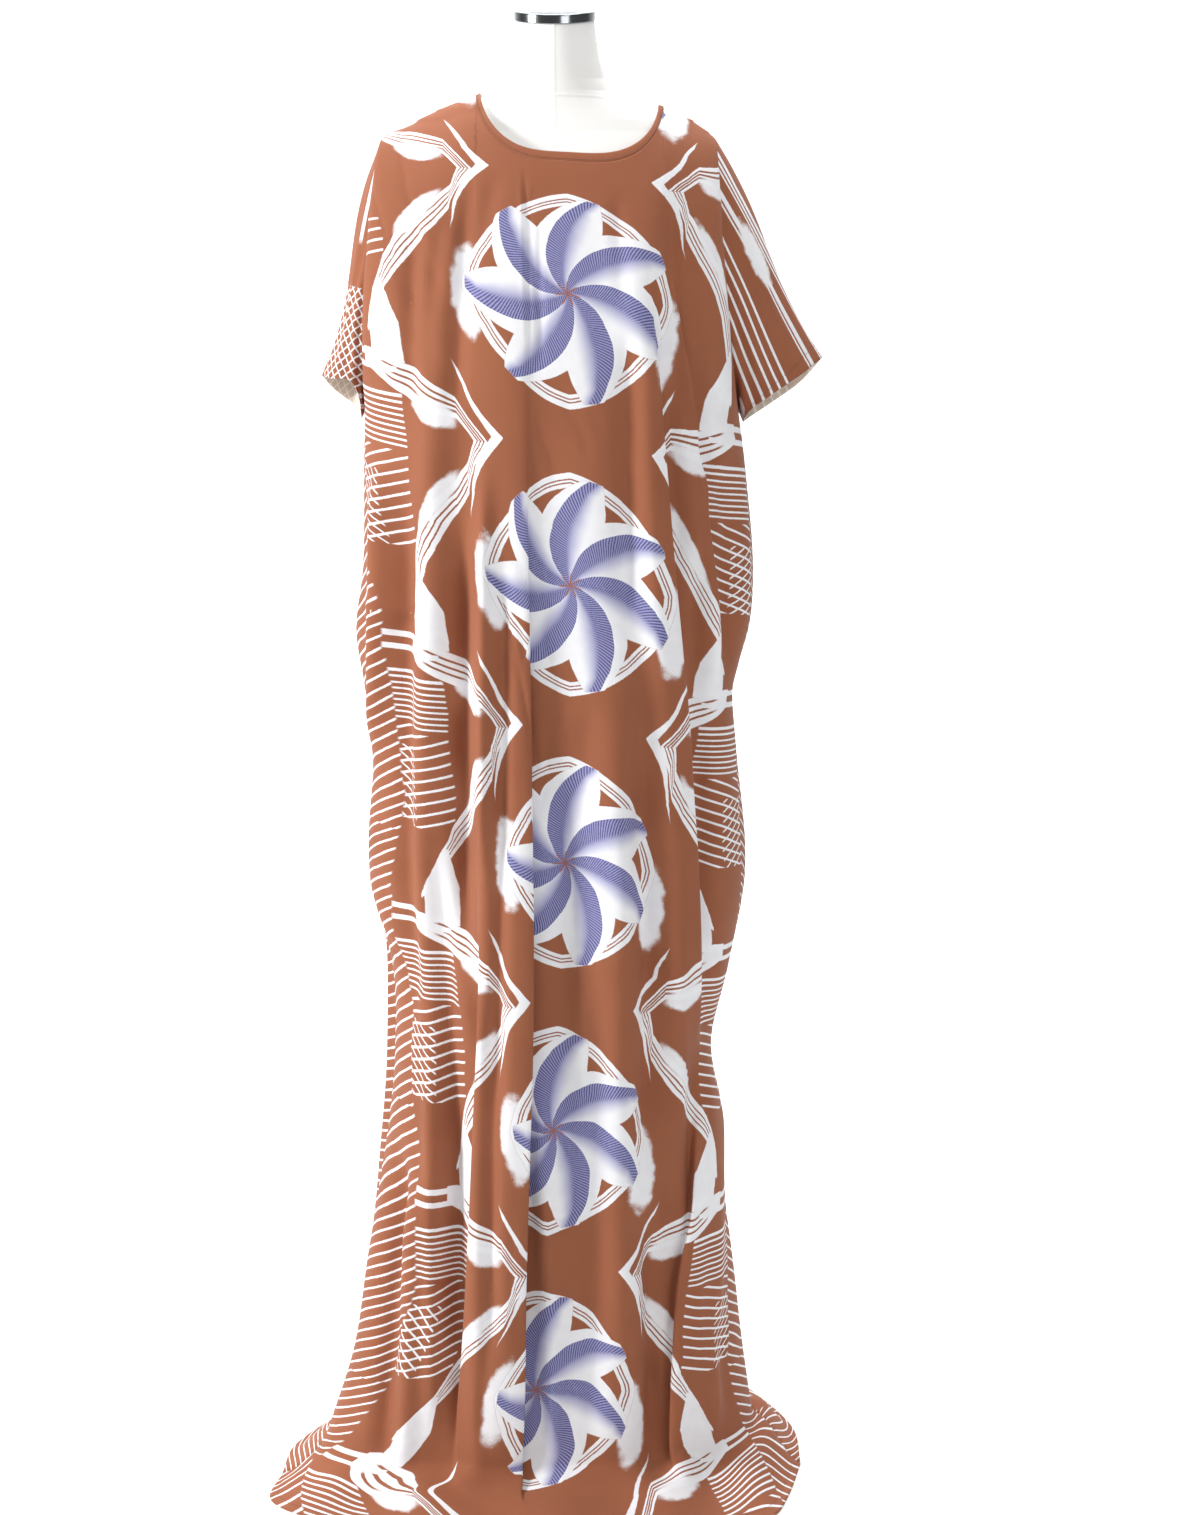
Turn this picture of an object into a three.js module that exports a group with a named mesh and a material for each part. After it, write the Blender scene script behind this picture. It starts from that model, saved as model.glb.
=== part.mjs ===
// Bati dress on a limbless dress form: one printed cloth folded over the shoulders, short grown-on
// sleeves, a round neck, and a long skirt that spreads on the floor.
// Millimetres, +Z up, +X to the right seen from the front, the front faces -Y.
// The origin is the middle of the stand's underside, on the floor.
import * as THREE from 'three';

// Driving dimensions of the dress
const CLOTH = { thickness: 1.2, seamGap: 0.3, armholeGap: 1.1, floorLift: 0.3 };
const NECK = {
  middleX: 16, halfWidth: 93.5, frontReach: 85, backReach: 58, roundness: 3, bindingWidth: 5, fanOut: 32,
};
const WALL = { topZ: 1400, bottomZ: 46, footOut: 16 };
const SHOULDER = { left: 12, right: -5, fromShare: 0.55 };
const SLEEVE = { underarmZ: 1214, chestShare: 0.35, shoulderBulge: 4, columns: 26, rows: 9 };

// Driving dimensions of the form and its stand
const FORM = { sides: 32, ridgeClearance: 0.5, sideClearance: 3.5, ridgeHalfWidth: 5 };
const CAP = { height: 9.5, crownHeight: 3, overhang: 1.5, seatGap: 0.3, tilt: 0.19 };
const STAND = { poleRadius: 14, baseRadius: 128, baseHeight: 11, formBottomZ: 780, gap: 0.3, sides: 40 };

const rows = (columns, values) => values.map(
  (row) => Object.fromEntries(columns.map((name, index) => [name, row[index]])),
);

// The dress at each height: outermost left, right, front and back, where the side seams run,
// and how far the armhole stands open to the front and back of the seam
const SECTIONS = rows(
  ['z', 'left', 'right', 'front', 'back', 'seamLeft', 'seamRight', 'armhole'],
  [
    [1470, -189, 171, -98, 84, 0, 0, 34],
    [1400, -196, 176, -119, 95, 0, 0, 50],
    [1320, -203, 184, -139, 101, 0, 0, 52],
    [1255, -206, 191, -143, 102, 0, 0, 33],
    [1214, -207, 198, -143, 102, 0, 0, 0],
    [1140, -209, 208, -142, 101, 0, 2, 0],
    [1040, -213, 217, -141, 100, 0, 3, 0],
    [975, -221, 213, -141, 100, 0, 3, 0],
    [910, -213, 196, -141, 100, 0, 3, 0],
    [840, -205, 200, -141, 101, 0, 3, 0],
    [700, -211, 212, -142, 102, 0, 3, 0],
    [590, -188, 194, -142, 103, 0, 3, 0],
    [500, -186, 174, -143, 104, 0, 0, 0],
    [420, -192, 178, -143, 106, -4, 0, 0],
    [335, -205, 188, -144, 109, -12, 0, 0],
    [250, -219, 200, -146, 112, -24, 0, 0],
    [140, -236, 213, -149, 117, -46, 2, 0],
    [46, -266, 226, -153, 124, -66, 4, 0],
  ],
);

// The shoulder fold along the form, from the viewer's left to the right; the neck hole cuts its middle
const RIDGE = rows(
  ['x', 'z'],
  [
    [-192, 1496], [-182, 1503.5], [-160, 1511], [-140, 1519.5], [-115, 1529.4], [-83, 1541.6],
    [-40, 1548], [16, 1550], [70, 1546], [115, 1530], [140, 1518.5], [160, 1508], [170, 1500.5], [178, 1492],
  ],
);

// Where the hem lies on the floor, by the share of the panel's width from its middle, and how high
// the cloth rises between the wall's foot and the hem
const HEM_SHAPE = ['share', 'x', 'y', 'rise'];
const FRONT_HEM = rows(HEM_SHAPE, [
  [-1, -318, -84, 5], [-0.86, -324, -146, 2], [-0.7, -276, -188, 9], [-0.52, -214, -206, 1],
  [-0.36, -150, -236, 7], [-0.18, -74, -226, 1], [0, 8, -244, 6], [0.2, 84, -226, 1],
  [0.38, 138, -238, 8], [0.56, 192, -204, 1], [0.72, 240, -186, 12], [0.86, 262, -136, 16],
  [1, 281, -62, 20],
]);
const BACK_HEM = rows(HEM_SHAPE, [
  [-1, -318, -84, 5], [-0.88, -312, -14, 9], [-0.72, -262, 72, 2], [-0.55, -214, 122, 10],
  [-0.35, -122, 146, 2], [-0.15, -50, 184, 9], [0.05, 24, 170, 1], [0.25, 104, 192, 11],
  [0.45, 158, 162, 3], [0.62, 216, 152, 13], [0.78, 250, 102, 8], [0.9, 280, 24, 22],
  [1, 281, -62, 20],
]);

// Pleats lie over themselves: the fold's path (x at each height), the cloth it turns back, how far
// its layers part, and which side lies on top (1: the left over the right, -1: the other way)
const PLEAT_COLUMNS = ['z', 'x', 'turn', 'part'];
const FRONT_PLEATS = [
  {
    name: 'lower left edge', halfWidth: 17, columns: 6,
    path: rows(PLEAT_COLUMNS, [
      [1500, -128, 0, 0], [1400, -92, 0, 0], [900, -84, 0, -3], [700, -82, 3, -5], [540, -80, 9, -8],
      [290, -93, 9, -9], [110, -112, 7, -8], [40, -114, 2, -5], [0, -110, 0, 0],
    ]),
  },
  {
    name: 'middle pleat', halfWidth: 26, columns: 9,
    path: rows(PLEAT_COLUMNS, [
      [1480, -26, 0, 0.6], [1190, -27, 6, 3], [1000, -29, 13, 6], [810, -32, 19, 9],
      [560, -36, 24, 12], [260, -51, 30, 14], [60, -52, 26, 14], [30, -48, 10, 12], [10, -43, 0, 5],
      [0, -40, 0, 0],
    ]),
  },
  {
    name: 'right front edge', halfWidth: 16, columns: 8,
    path: rows(PLEAT_COLUMNS, [
      [1500, 84, 0, 0], [1420, 96, 0, 0], [1343, 100, 3, 4], [1267, 105, 8, 8], [1076, 118, 12, 10],
      [876, 135, 14, 11], [664, 149, 13, 11], [560, 158, 4, 7], [500, 157, 0, 0],
      [440, 154, 3, -6], [360, 147, 9, -10], [220, 134, 11, -11], [60, 128, 9, -10], [25, 129, 2, -6],
      [0, 130, 0, 0],
    ]),
  },
  {
    name: 'right side edge', halfWidth: 14, columns: 6,
    path: rows(PLEAT_COLUMNS, [
      [1500, 152, 0, 0], [1440, 128, 0, 0], [1380, 126, 2, 4], [1250, 142, 7, 8], [1100, 160, 8, 9],
      [980, 177, 5, 7], [900, 180, 0, 0], [600, 176, 0, 0], [0, 190, 0, 0],
    ]),
  },
];
const BACK_PLEATS = [
  {
    name: 'back left pleat', halfWidth: 22, columns: 7,
    path: rows(PLEAT_COLUMNS, [
      [1440, -70, 0, 0], [1200, -78, 5, 4], [900, -84, 13, 8], [400, -92, 17, 11],
      [60, -104, 14, 12], [25, -102, 3, 8], [0, -100, 0, 0],
    ]),
  },
  {
    name: 'back right pleat', halfWidth: 20, columns: 7,
    path: rows(PLEAT_COLUMNS, [
      [1440, 60, 0, 0], [1100, 66, 5, -4], [800, 78, 12, -8], [300, 96, 16, -10],
      [60, 108, 12, -12], [25, 108, 3, -8], [0, 108, 0, 0],
    ]),
  },
];

// Soft troughs and ridges: path, half width, and height at the start, middle and end
const WAVE_COLUMNS = ['x', 'endX', 'fromZ', 'toZ', 'halfWidth', 'height'];
const FRONT_WAVES = rows(WAVE_COLUMNS, [
  [-132, -108, 800, 40, 13, -7], [-160, -166, 1180, 560, 14, -5], [-120, -150, 1300, 700, 20, 5],
  [-178, -200, 420, 30, 12, -8], [-150, -176, 400, 30, 12, 6], [60, 74, 1000, 200, 24, 4],
  [176, 172, 520, 30, 13, 5], [10, 20, 900, 60, 22, -4], [186, 196, 1180, 960, 12, -5],
]);
const BACK_WAVES = rows(WAVE_COLUMNS, [
  [-150, -190, 1280, 40, 22, 8], [-20, -10, 1300, 60, 26, -8], [130, 170, 1250, 60, 20, 7],
  [30, 44, 900, 60, 18, 7], [-130, -150, 760, 60, 16, -7], [170, 200, 900, 60, 16, -7],
]);

// Sleeve hems: the front and back edges from the outer tip to the underarm
const HEM_COLUMNS = ['share', 'x', 'y', 'z'];
const SLEEVES = {
  left_sleeve: {
    side: -1,
    front: rows(HEM_COLUMNS, [
      [0, -255, 4, 1249], [0.3, -243, -26, 1247], [0.62, -221, -36, 1245], [0.86, -213, -22, 1226],
      [1, -213, 2, 1203],
    ]),
    back: rows(HEM_COLUMNS, [
      [0, -255, 4, 1249], [0.3, -247, 36, 1234], [0.62, -229, 50, 1218], [0.86, -216, 32, 1208],
      [1, -213, 2, 1203],
    ]),
  },
  right_sleeve: {
    side: 1,
    front: rows(HEM_COLUMNS, [
      [0, 290, 4, 1268], [0.3, 266, -24, 1252], [0.62, 233, -34, 1230], [0.86, 210, -22, 1212],
      [1, 205, 2, 1199],
    ]),
    back: rows(HEM_COLUMNS, [
      [0, 290, 4, 1268], [0.3, 268, 34, 1240], [0.62, 236, 46, 1216], [0.86, 214, 30, 1203],
      [1, 205, 2, 1199],
    ]),
  },
};

// The form at each height: half width, and how far it reaches to the front and back
const FORM_RINGS = rows(
  ['z', 'half', 'front', 'back', 'power', 'tilt'],
  [
    [780, 140, -84, 70, 2, 0], [786, 152, -92, 78, 2, 0], [810, 160, -98, 84, 2, 0],
    [870, 166, -104, 87, 2, 0], [930, 162, -102, 84, 2, 0], [1010, 142, -92, 78, 2, 0],
    [1090, 121, -84, 70, 2, 0], [1170, 125, -98, 70, 2, 0], [1240, 138, -119, 76, 2, 0],
    [1295, 144, -127, 82, 2, 0], [1345, 149, -120, 86, 2, 0], [1400, 160, -103, 85, 2, 0],
    [1440, 169, -90, 79, 2, 0], [1466, 174, -80, 70, 2, 0], [1483, 175, -72, 60, 1.9, 0],
    [1493, 170, -66, 53, 1.9, 0], [1505, 159, -60, 48, 1.8, 0], [1517, 140, -55, 44, 1.8, 0],
    [1528, 115, -51, 41, 1.8, 0], [1539.6, 83, -48, 39, 1.8, 0], [1548, 65, -47, 37, 1.9, 0.02],
    [1561, 54, -46, 36, 2, 0.05], [1585, 47, -46, 33, 2, 0.1], [1610, 43.5, -46, 31, 2, 0.16],
    [1622, 42, -47, 30, 2, 0.19],
  ],
);

const MATERIALS = {
  cloth: new THREE.MeshStandardMaterial({ color: 0x9a573b, roughness: 0.85, metalness: 0 }),
  neck: new THREE.MeshStandardMaterial({ color: 0x8a4a32, roughness: 0.85, metalness: 0 }),
  form: new THREE.MeshStandardMaterial({ color: 0xece9e6, roughness: 0.8, metalness: 0 }),
  chrome: new THREE.MeshStandardMaterial({ color: 0xc8cacc, roughness: 0.15, metalness: 1 }),
  stand: new THREE.MeshStandardMaterial({ color: 0xd9d9d9, roughness: 0.4, metalness: 0.2 }),
};

const clamp = (value, low, high) => Math.min(Math.max(value, low), high);
const mix = (a, b, share) => a + (b - a) * share;
const smooth = (value) => {
  const share = clamp(value, 0, 1);
  return share * share * (3 - 2 * share);
};

// A smooth curve through one column of a table, along another column
function follow(table, along, name, at) {
  const rising = table[1][along] > table[0][along];
  let index = 0;
  while (index < table.length - 2 && (rising ? at > table[index + 1][along] : at < table[index + 1][along])) {
    index += 1;
  }
  const [start, end] = [table[index], table[index + 1]];
  const before = table[Math.max(index - 1, 0)];
  const after = table[Math.min(index + 2, table.length - 1)];
  const span = end[along] - start[along];
  const share = clamp((at - start[along]) / span, 0, 1);
  const slopeIn = (end[name] - before[name]) / (end[along] - before[along]) * span;
  const slopeOut = (after[name] - start[name]) / (after[along] - start[along]) * span;
  const square = share * share;
  const cube = square * share;
  return (2 * cube - 3 * square + 1) * start[name] + (cube - 2 * square + share) * slopeIn
    + (3 * square - 2 * cube) * end[name] + (cube - square) * slopeOut;
}

// A straight line between the rows of a table
function between(table, along, name, at) {
  const index = clamp(table.findIndex((row) => row[along] > at), 1, table.length - 1);
  const [start, end] = [table[index - 1], table[index]];
  return mix(start[name], end[name], clamp((at - start[along]) / (end[along] - start[along]), 0, 1));
}

// The form's section at a height: how far a point stands outside it, as a share of its width
function formLevel(point) {
  const half = between(FORM_RINGS, 'z', 'half', point.z);
  const reach = between(FORM_RINGS, 'z', point.y < 0 ? 'front' : 'back', point.z);
  const power = between(FORM_RINGS, 'z', 'power', point.z);
  const across = Math.abs(point.x / half) ** power;
  const through = Math.abs(point.y / reach) ** power;
  return (across + through) ** (1 / power) - 1;
}

// Moves a point of the cloth out until it lies clear of the form
function clearOfForm(point) {
  const overRidge = smooth(Math.abs(point.y) / FORM.ridgeHalfWidth);
  const clearance = CLOTH.thickness / 2 + mix(FORM.ridgeClearance, FORM.sideClearance, overRidge);
  const step = 0.5;
  for (let round = 0; round < 5; round += 1) {
    const level = formLevel(point);
    const slope = new THREE.Vector3(
      formLevel(point.clone().add(new THREE.Vector3(step, 0, 0))) - level,
      formLevel(point.clone().add(new THREE.Vector3(0, step, 0))) - level,
      formLevel(point.clone().add(new THREE.Vector3(0, 0, step))) - level,
    ).divideScalar(step);
    const distance = level / slope.length();
    if (distance < clearance) {
      point.add(slope.normalize().multiplyScalar(clearance - distance));
    }
  }
  return point;
}

// A panel's section at a height: share -1 is the left seam, 1 the right seam
function wallPoint(face, share, z) {
  const left = follow(SECTIONS, 'z', 'left', z);
  const right = follow(SECTIONS, 'z', 'right', z);
  const middle = (left + right) / 2;
  const half = (right - left) / 2;
  const open = Math.max(follow(SECTIONS, 'z', 'armhole', z), 0) * face;
  const seam = follow(SECTIONS, 'z', share < 0 ? 'seamLeft' : 'seamRight', z) + open;
  const outer = follow(SECTIONS, 'z', face < 0 ? 'front' : 'back', z);
  const turn = share * Math.PI / 2;
  return new THREE.Vector3(
    middle + half * Math.sin(turn),
    mix(seam, outer, Math.pow(Math.cos(turn), 0.8)),
    z,
  );
}

// The cloth over the shoulders and chest, as if it had no neck hole: down 0 is the shoulder fold
function chestPoint(face, share, down) {
  const foot = wallPoint(face, share, WALL.topZ);
  const narrowed = foot.x + (share < 0 ? SHOULDER.left : SHOULDER.right)
    * smooth((Math.abs(share) - SHOULDER.fromShare) / (1 - SHOULDER.fromShare));
  const top = new THREE.Vector3(narrowed, face * CLOTH.seamGap / 2, follow(RIDGE, 'x', 'z', narrowed));
  const drop = top.z - foot.z;
  const rise = wallPoint(face, share, WALL.topZ + 20).sub(foot).setX(0).setLength(0.4 * drop);
  return new THREE.CubicBezierCurve3(
    top,
    top.clone().add(new THREE.Vector3(0, face * 0.42 * drop, -0.03 * drop)),
    foot.clone().add(rise),
    foot,
  ).getPoint(down);
}

// How far down the chest the cloth has come this far forward or back
function downAtReach(face, share, reach) {
  let [above, below] = [0, 1];
  for (let round = 0; round < 24; round += 1) {
    const middle = (above + below) / 2;
    if (Math.abs(chestPoint(face, share, middle).y) < reach) {
      above = middle;
    } else {
      below = middle;
    }
  }
  return above;
}

// Where a panel's top edge lies at a share of its width: the shoulder fold, or the neck edge
function topDown(face, share) {
  const x = wallPoint(face, share, WALL.topZ).x;
  const inset = NECK.bindingWidth + CLOTH.seamGap;
  const across = Math.abs((x - NECK.middleX) / (NECK.halfWidth + inset));
  if (across >= 1) {
    return 0;
  }
  const reach = (face < 0 ? NECK.frontReach : NECK.backReach) + inset;
  return downAtReach(face, share, reach * (1 - across ** NECK.roundness) ** (1 / NECK.roundness));
}

// The neck edge, moved out over the cloth by an inset; the angle runs right, front, left, back
function neckPoint(angle, inset) {
  const rounded = (value) => Math.sign(value) * Math.abs(value) ** (2 / NECK.roundness);
  const face = Math.sin(angle) > 0 ? -1 : 1;
  const reach = (face < 0 ? NECK.frontReach : NECK.backReach) + inset;
  const x = NECK.middleX + (NECK.halfWidth + inset) * rounded(Math.cos(angle));
  const share = shareOf(x, WALL.topZ);
  const point = chestPoint(face, share, downAtReach(face, share, reach * Math.abs(rounded(Math.sin(angle)))));
  return clearOfForm(point);
}

// A panel before its folds: down 0 to 1 is the shoulder and chest, to 2 the wall, to 3 the floor
function basePoint(face, share, down) {
  if (down < 1) {
    return clearOfForm(chestPoint(face, share, mix(topDown(face, share), 1, down)));
  }
  if (down < 2) {
    return clearOfForm(wallPoint(face, share, mix(WALL.topZ, WALL.bottomZ, down - 1)));
  }
  const start = wallPoint(face, share, WALL.bottomZ);
  const hem = face < 0 ? FRONT_HEM : BACK_HEM;
  const floorZ = CLOTH.floorLift + CLOTH.thickness / 2;
  const end = new THREE.Vector3(follow(hem, 'share', 'x', share), follow(hem, 'share', 'y', share), floorZ);
  const outward = end.clone().sub(start).setZ(0).normalize().multiplyScalar(WALL.footOut);
  const bend = start.clone().add(outward).setZ(floorZ);
  const point = new THREE.QuadraticBezierCurve3(start, bend, end).getPoint(down - 2);
  point.z += follow(hem, 'share', 'rise', share) * Math.sin(Math.PI * (down - 2)) ** 2;
  return point;
}

// The height that a fold's path is read at
function heightOf(down) {
  if (down < 1) {
    return mix(SECTIONS[0].z + 30, WALL.topZ, down);
  }
  return down < 2 ? mix(WALL.topZ, WALL.bottomZ, down - 1) : mix(WALL.bottomZ, 0, (down - 2) * 2);
}

// The share of the width at which a panel's section reaches an x
function shareOf(x, z) {
  const left = follow(SECTIONS, 'z', 'left', z);
  const right = follow(SECTIONS, 'z', 'right', z);
  return Math.asin(clamp((2 * x - left - right) / (right - left), -0.985, 0.985)) * 2 / Math.PI;
}

// Millimetres of cloth for each unit of share, at a place on the panel
function stretchOf(face, share, down) {
  const step = 0.01;
  const ahead = basePoint(face, Math.min(share + step, 1), down);
  const behind = basePoint(face, Math.max(share - step, -1), down);
  return ahead.distanceTo(behind) / (Math.min(share + step, 1) - Math.max(share - step, -1));
}

// The pleats that cross a row: where each is centred and how wide it is, as shares
function pleatsAcross(face, pleats, down) {
  const z = heightOf(down);
  return pleats.map((pleat) => {
    const centre = shareOf(follow(pleat.path, 'z', 'x', z), z);
    return {
      centre,
      half: pleat.halfWidth / stretchOf(face, centre, down),
      stretch: stretchOf(face, centre, down),
      turn: Math.max(follow(pleat.path, 'z', 'turn', z), 0) * smooth(3.4 - down * 1.2),
      part: follow(pleat.path, 'z', 'part', z),
      columns: pleat.columns,
    };
  });
}

// The shares of a row's columns: close together in each pleat, wider between them
function columnShares(across, spacing) {
  const shares = [-1];
  const spread = (to, count) => {
    const from = shares[shares.length - 1];
    for (let index = 1; index <= count; index += 1) {
      shares.push(mix(from, to, index / count));
    }
  };
  const narrowest = 0.012;
  across.forEach((pleat, index) => {
    spread(Math.max(pleat.centre - pleat.half, shares[shares.length - 1] + narrowest), spacing[index]);
    spread(Math.max(pleat.centre + pleat.half, shares[shares.length - 1] + narrowest), pleat.columns);
  });
  spread(1, spacing[across.length]);
  return shares;
}

// A row's shares moved so that the columns of the top edge follow the neck's curve and fan out from it
function topShares(shares) {
  const halfHole = NECK.halfWidth + NECK.bindingWidth + CLOTH.seamGap;
  const sides = [-1, 1].map((side) => shareOf(NECK.middleX + side * halfHole, WALL.topZ));
  const [first, last] = [-1, 1].map((side) => {
    const fan = shareOf(NECK.middleX + side * (halfHole + NECK.fanOut), WALL.topZ);
    const distances = shares.map((share) => Math.abs(share - fan));
    return distances.indexOf(Math.min(...distances));
  });
  return shares.map((share, index) => {
    if (index <= first) {
      return mix(-1, sides[0], (share + 1) / (shares[first] + 1));
    }
    if (index >= last) {
      return mix(sides[1], 1, (share - shares[last]) / (1 - shares[last]));
    }
    const turn = Math.cos(Math.PI * (index - first) / (last - first));
    const across = Math.sign(turn) * Math.abs(turn) ** (2 / NECK.roundness);
    return shareOf(NECK.middleX - halfHole * across, WALL.topZ);
  });
}

// How far the soft waves stand out at a place
function waveHeight(waves, x, z) {
  return waves.reduce((total, wave) => {
    const along = (wave.fromZ - z) / (wave.fromZ - wave.toZ);
    const fade = smooth(along * 4) * smooth((1.15 - along) * 4);
    const offset = (x - mix(wave.x, wave.endX, clamp(along, 0, 1))) / wave.halfWidth;
    return total + wave.height * fade * Math.exp(-offset * offset);
  }, 0);
}

// One point of a panel with its pleats and waves
function panelPoint(face, share, down, across, waves) {
  let shifted = share;
  let lift = 0;
  across.forEach((pleat) => {
    const place = (share - pleat.centre) / pleat.half;
    if (Math.abs(place) < 1) {
      shifted -= pleat.turn * Math.sin(Math.PI * place) / pleat.stretch;
    }
    lift -= pleat.part * place * Math.exp((1 - place * place) / 2);
  });
  const point = basePoint(face, clamp(shifted, -1, 1), down);
  const edgeFade = smooth((1 - Math.abs(share)) * 14) * smooth((2.9 - down) * 1.6);
  lift += waveHeight(waves, point.x, heightOf(down));
  const step = 0.02;
  const sideways = basePoint(face, Math.min(shifted + step, 1), down)
    .sub(basePoint(face, Math.max(shifted - step, -1), down));
  const downward = basePoint(face, shifted, Math.min(down + step, 3))
    .sub(basePoint(face, shifted, Math.max(down - step, 0)));
  const outward = sideways.cross(downward).normalize().multiplyScalar(face);
  point.add(outward.multiplyScalar(lift * edgeFade * smooth(down * 1.5)));
  point.z = Math.max(point.z, CLOTH.floorLift + CLOTH.thickness / 2);
  return point.z > STAND.formBottomZ ? clearOfForm(point) : point;
}

// A wall of cloth from a grid of points: its two faces lie half a thickness to each side of them
function wallFromGrid(grid, edgeNormal, wrap, side = 1) {
  const rowCount = grid.length;
  const columnCount = grid[0].length;
  const at = (row, column) => grid[clamp(row, 0, rowCount - 1)][
    wrap ? (column + columnCount) % columnCount : clamp(column, 0, columnCount - 1)];
  const outer = [];
  const inner = [];
  for (let row = 0; row < rowCount; row += 1) {
    for (let column = 0; column < columnCount; column += 1) {
      const across = at(row, column + 1).clone().sub(at(row, column - 1));
      const down = at(row + 1, column).clone().sub(at(row - 1, column));
      const normal = edgeNormal(row, column) ?? across.cross(down).setLength(side);
      outer.push(...grid[row][column].clone().addScaledVector(normal, -CLOTH.thickness / 2).toArray());
      inner.push(...grid[row][column].clone().addScaledVector(normal, CLOTH.thickness / 2).toArray());
    }
  }
  const offset = rowCount * columnCount;
  const faces = [];
  const quad = (a, b, c, d) => faces.push(a, b, c, a, c, d);
  const id = (row, column) => row * columnCount + (column % columnCount);
  const lastColumn = wrap ? columnCount : columnCount - 1;
  for (let row = 0; row < rowCount - 1; row += 1) {
    for (let column = 0; column < lastColumn; column += 1) {
      const [a, b, c, d] = [
        id(row, column), id(row + 1, column), id(row + 1, column + 1), id(row, column + 1),
      ];
      quad(a, b, c, d);
      quad(a + offset, d + offset, c + offset, b + offset);
    }
  }
  const rim = [];
  for (let column = 0; column < lastColumn; column += 1) {
    rim.push([id(0, column), id(0, column + 1)]);
    rim.push([id(rowCount - 1, column + 1), id(rowCount - 1, column)]);
  }
  for (let row = 0; !wrap && row < rowCount - 1; row += 1) {
    rim.push([id(row + 1, 0), id(row, 0)]);
    rim.push([id(row, columnCount - 1), id(row + 1, columnCount - 1)]);
  }
  rim.forEach(([a, b]) => quad(a, b, b + offset, a + offset));
  return solid(outer.concat(inner), faces);
}

// A closed solid, turned so that its faces point out
function solid(positions, faces) {
  let volume = 0;
  const corner = (index) => new THREE.Vector3().fromArray(positions, index * 3);
  for (let index = 0; index < faces.length; index += 3) {
    const [a, b, c] = faces.slice(index, index + 3).map(corner);
    volume += a.dot(b.cross(c));
  }
  if (volume < 0) {
    for (let index = 0; index < faces.length; index += 3) {
      [faces[index], faces[index + 1]] = [faces[index + 1], faces[index]];
    }
  }
  const geometry = new THREE.BufferGeometry();
  geometry.setAttribute('position', new THREE.Float32BufferAttribute(positions, 3));
  geometry.setIndex(faces);
  geometry.computeVertexNormals();
  return geometry;
}

function sequence(parts) {
  const values = [parts[0].from];
  parts.forEach(({ to, count }) => {
    const from = values[values.length - 1];
    for (let index = 1; index <= count; index += 1) {
      values.push(mix(from, to, index / count));
    }
  });
  return values;
}

// The front or back panel
function panel(face, pleats, waves, spacing, downs) {
  const grid = downs.map((down) => {
    const across = pleatsAcross(face, pleats, down);
    const shares = columnShares(across, spacing);
    const tops = topShares(shares);
    return shares.map((own, index) => {
      const share = mix(tops[index], own, 1 - (1 - Math.min(down, 1)) ** 2);
      const point = panelPoint(face, share, down, across, waves);
      const atSeam = Math.abs(share) > 0.9999;
      return atSeam ? point.add(new THREE.Vector3(0, face * CLOTH.seamGap / 2, 0)) : point;
    });
  });
  const lastColumn = grid[0].length - 1;
  return wallFromGrid(grid, (row, column) => {
    if (column > 0 && column < lastColumn) {
      return row === 0 ? topNormal(grid[0], column) : null;
    }
    return seamNormal(column === 0 ? -1 : 1, downs[row], grid[row][column]);
  }, false, -face);
}

// Into the cloth at the side seam: level, and turned down on the shoulder and on the floor
function seamNormal(side, down, point) {
  const turned = Math.max(smooth((point.z - 1440) / 60), smooth((down - 2) * 2));
  return new THREE.Vector3(-side * (1 - turned), 0, -turned).normalize();
}

// Into the cloth at the neck edge
function neckNormal(angle) {
  const step = 0.01;
  const along = neckPoint(angle + step, NECK.bindingWidth).sub(neckPoint(angle - step, NECK.bindingWidth));
  const out = neckPoint(angle, NECK.bindingWidth + 1).sub(neckPoint(angle, NECK.bindingWidth));
  return out.cross(along).normalize();
}

// Into the cloth along a panel's top edge: the shoulder fold and the neck stretch
function topNormal(row, column) {
  const point = row[column];
  const inset = NECK.bindingWidth + CLOTH.seamGap;
  if (Math.abs(point.y) > CLOTH.seamGap) {
    const across = clamp((point.x - NECK.middleX) / (NECK.halfWidth + inset), -1, 1);
    const turned = Math.sign(across) * Math.abs(across) ** (NECK.roundness / 2);
    return neckNormal(-Math.sign(point.y) * Math.acos(turned));
  }
  const along = row[column + 1].clone().sub(row[column - 1]).setY(0).normalize();
  return new THREE.Vector3(along.z, 0, -along.x);
}

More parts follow.
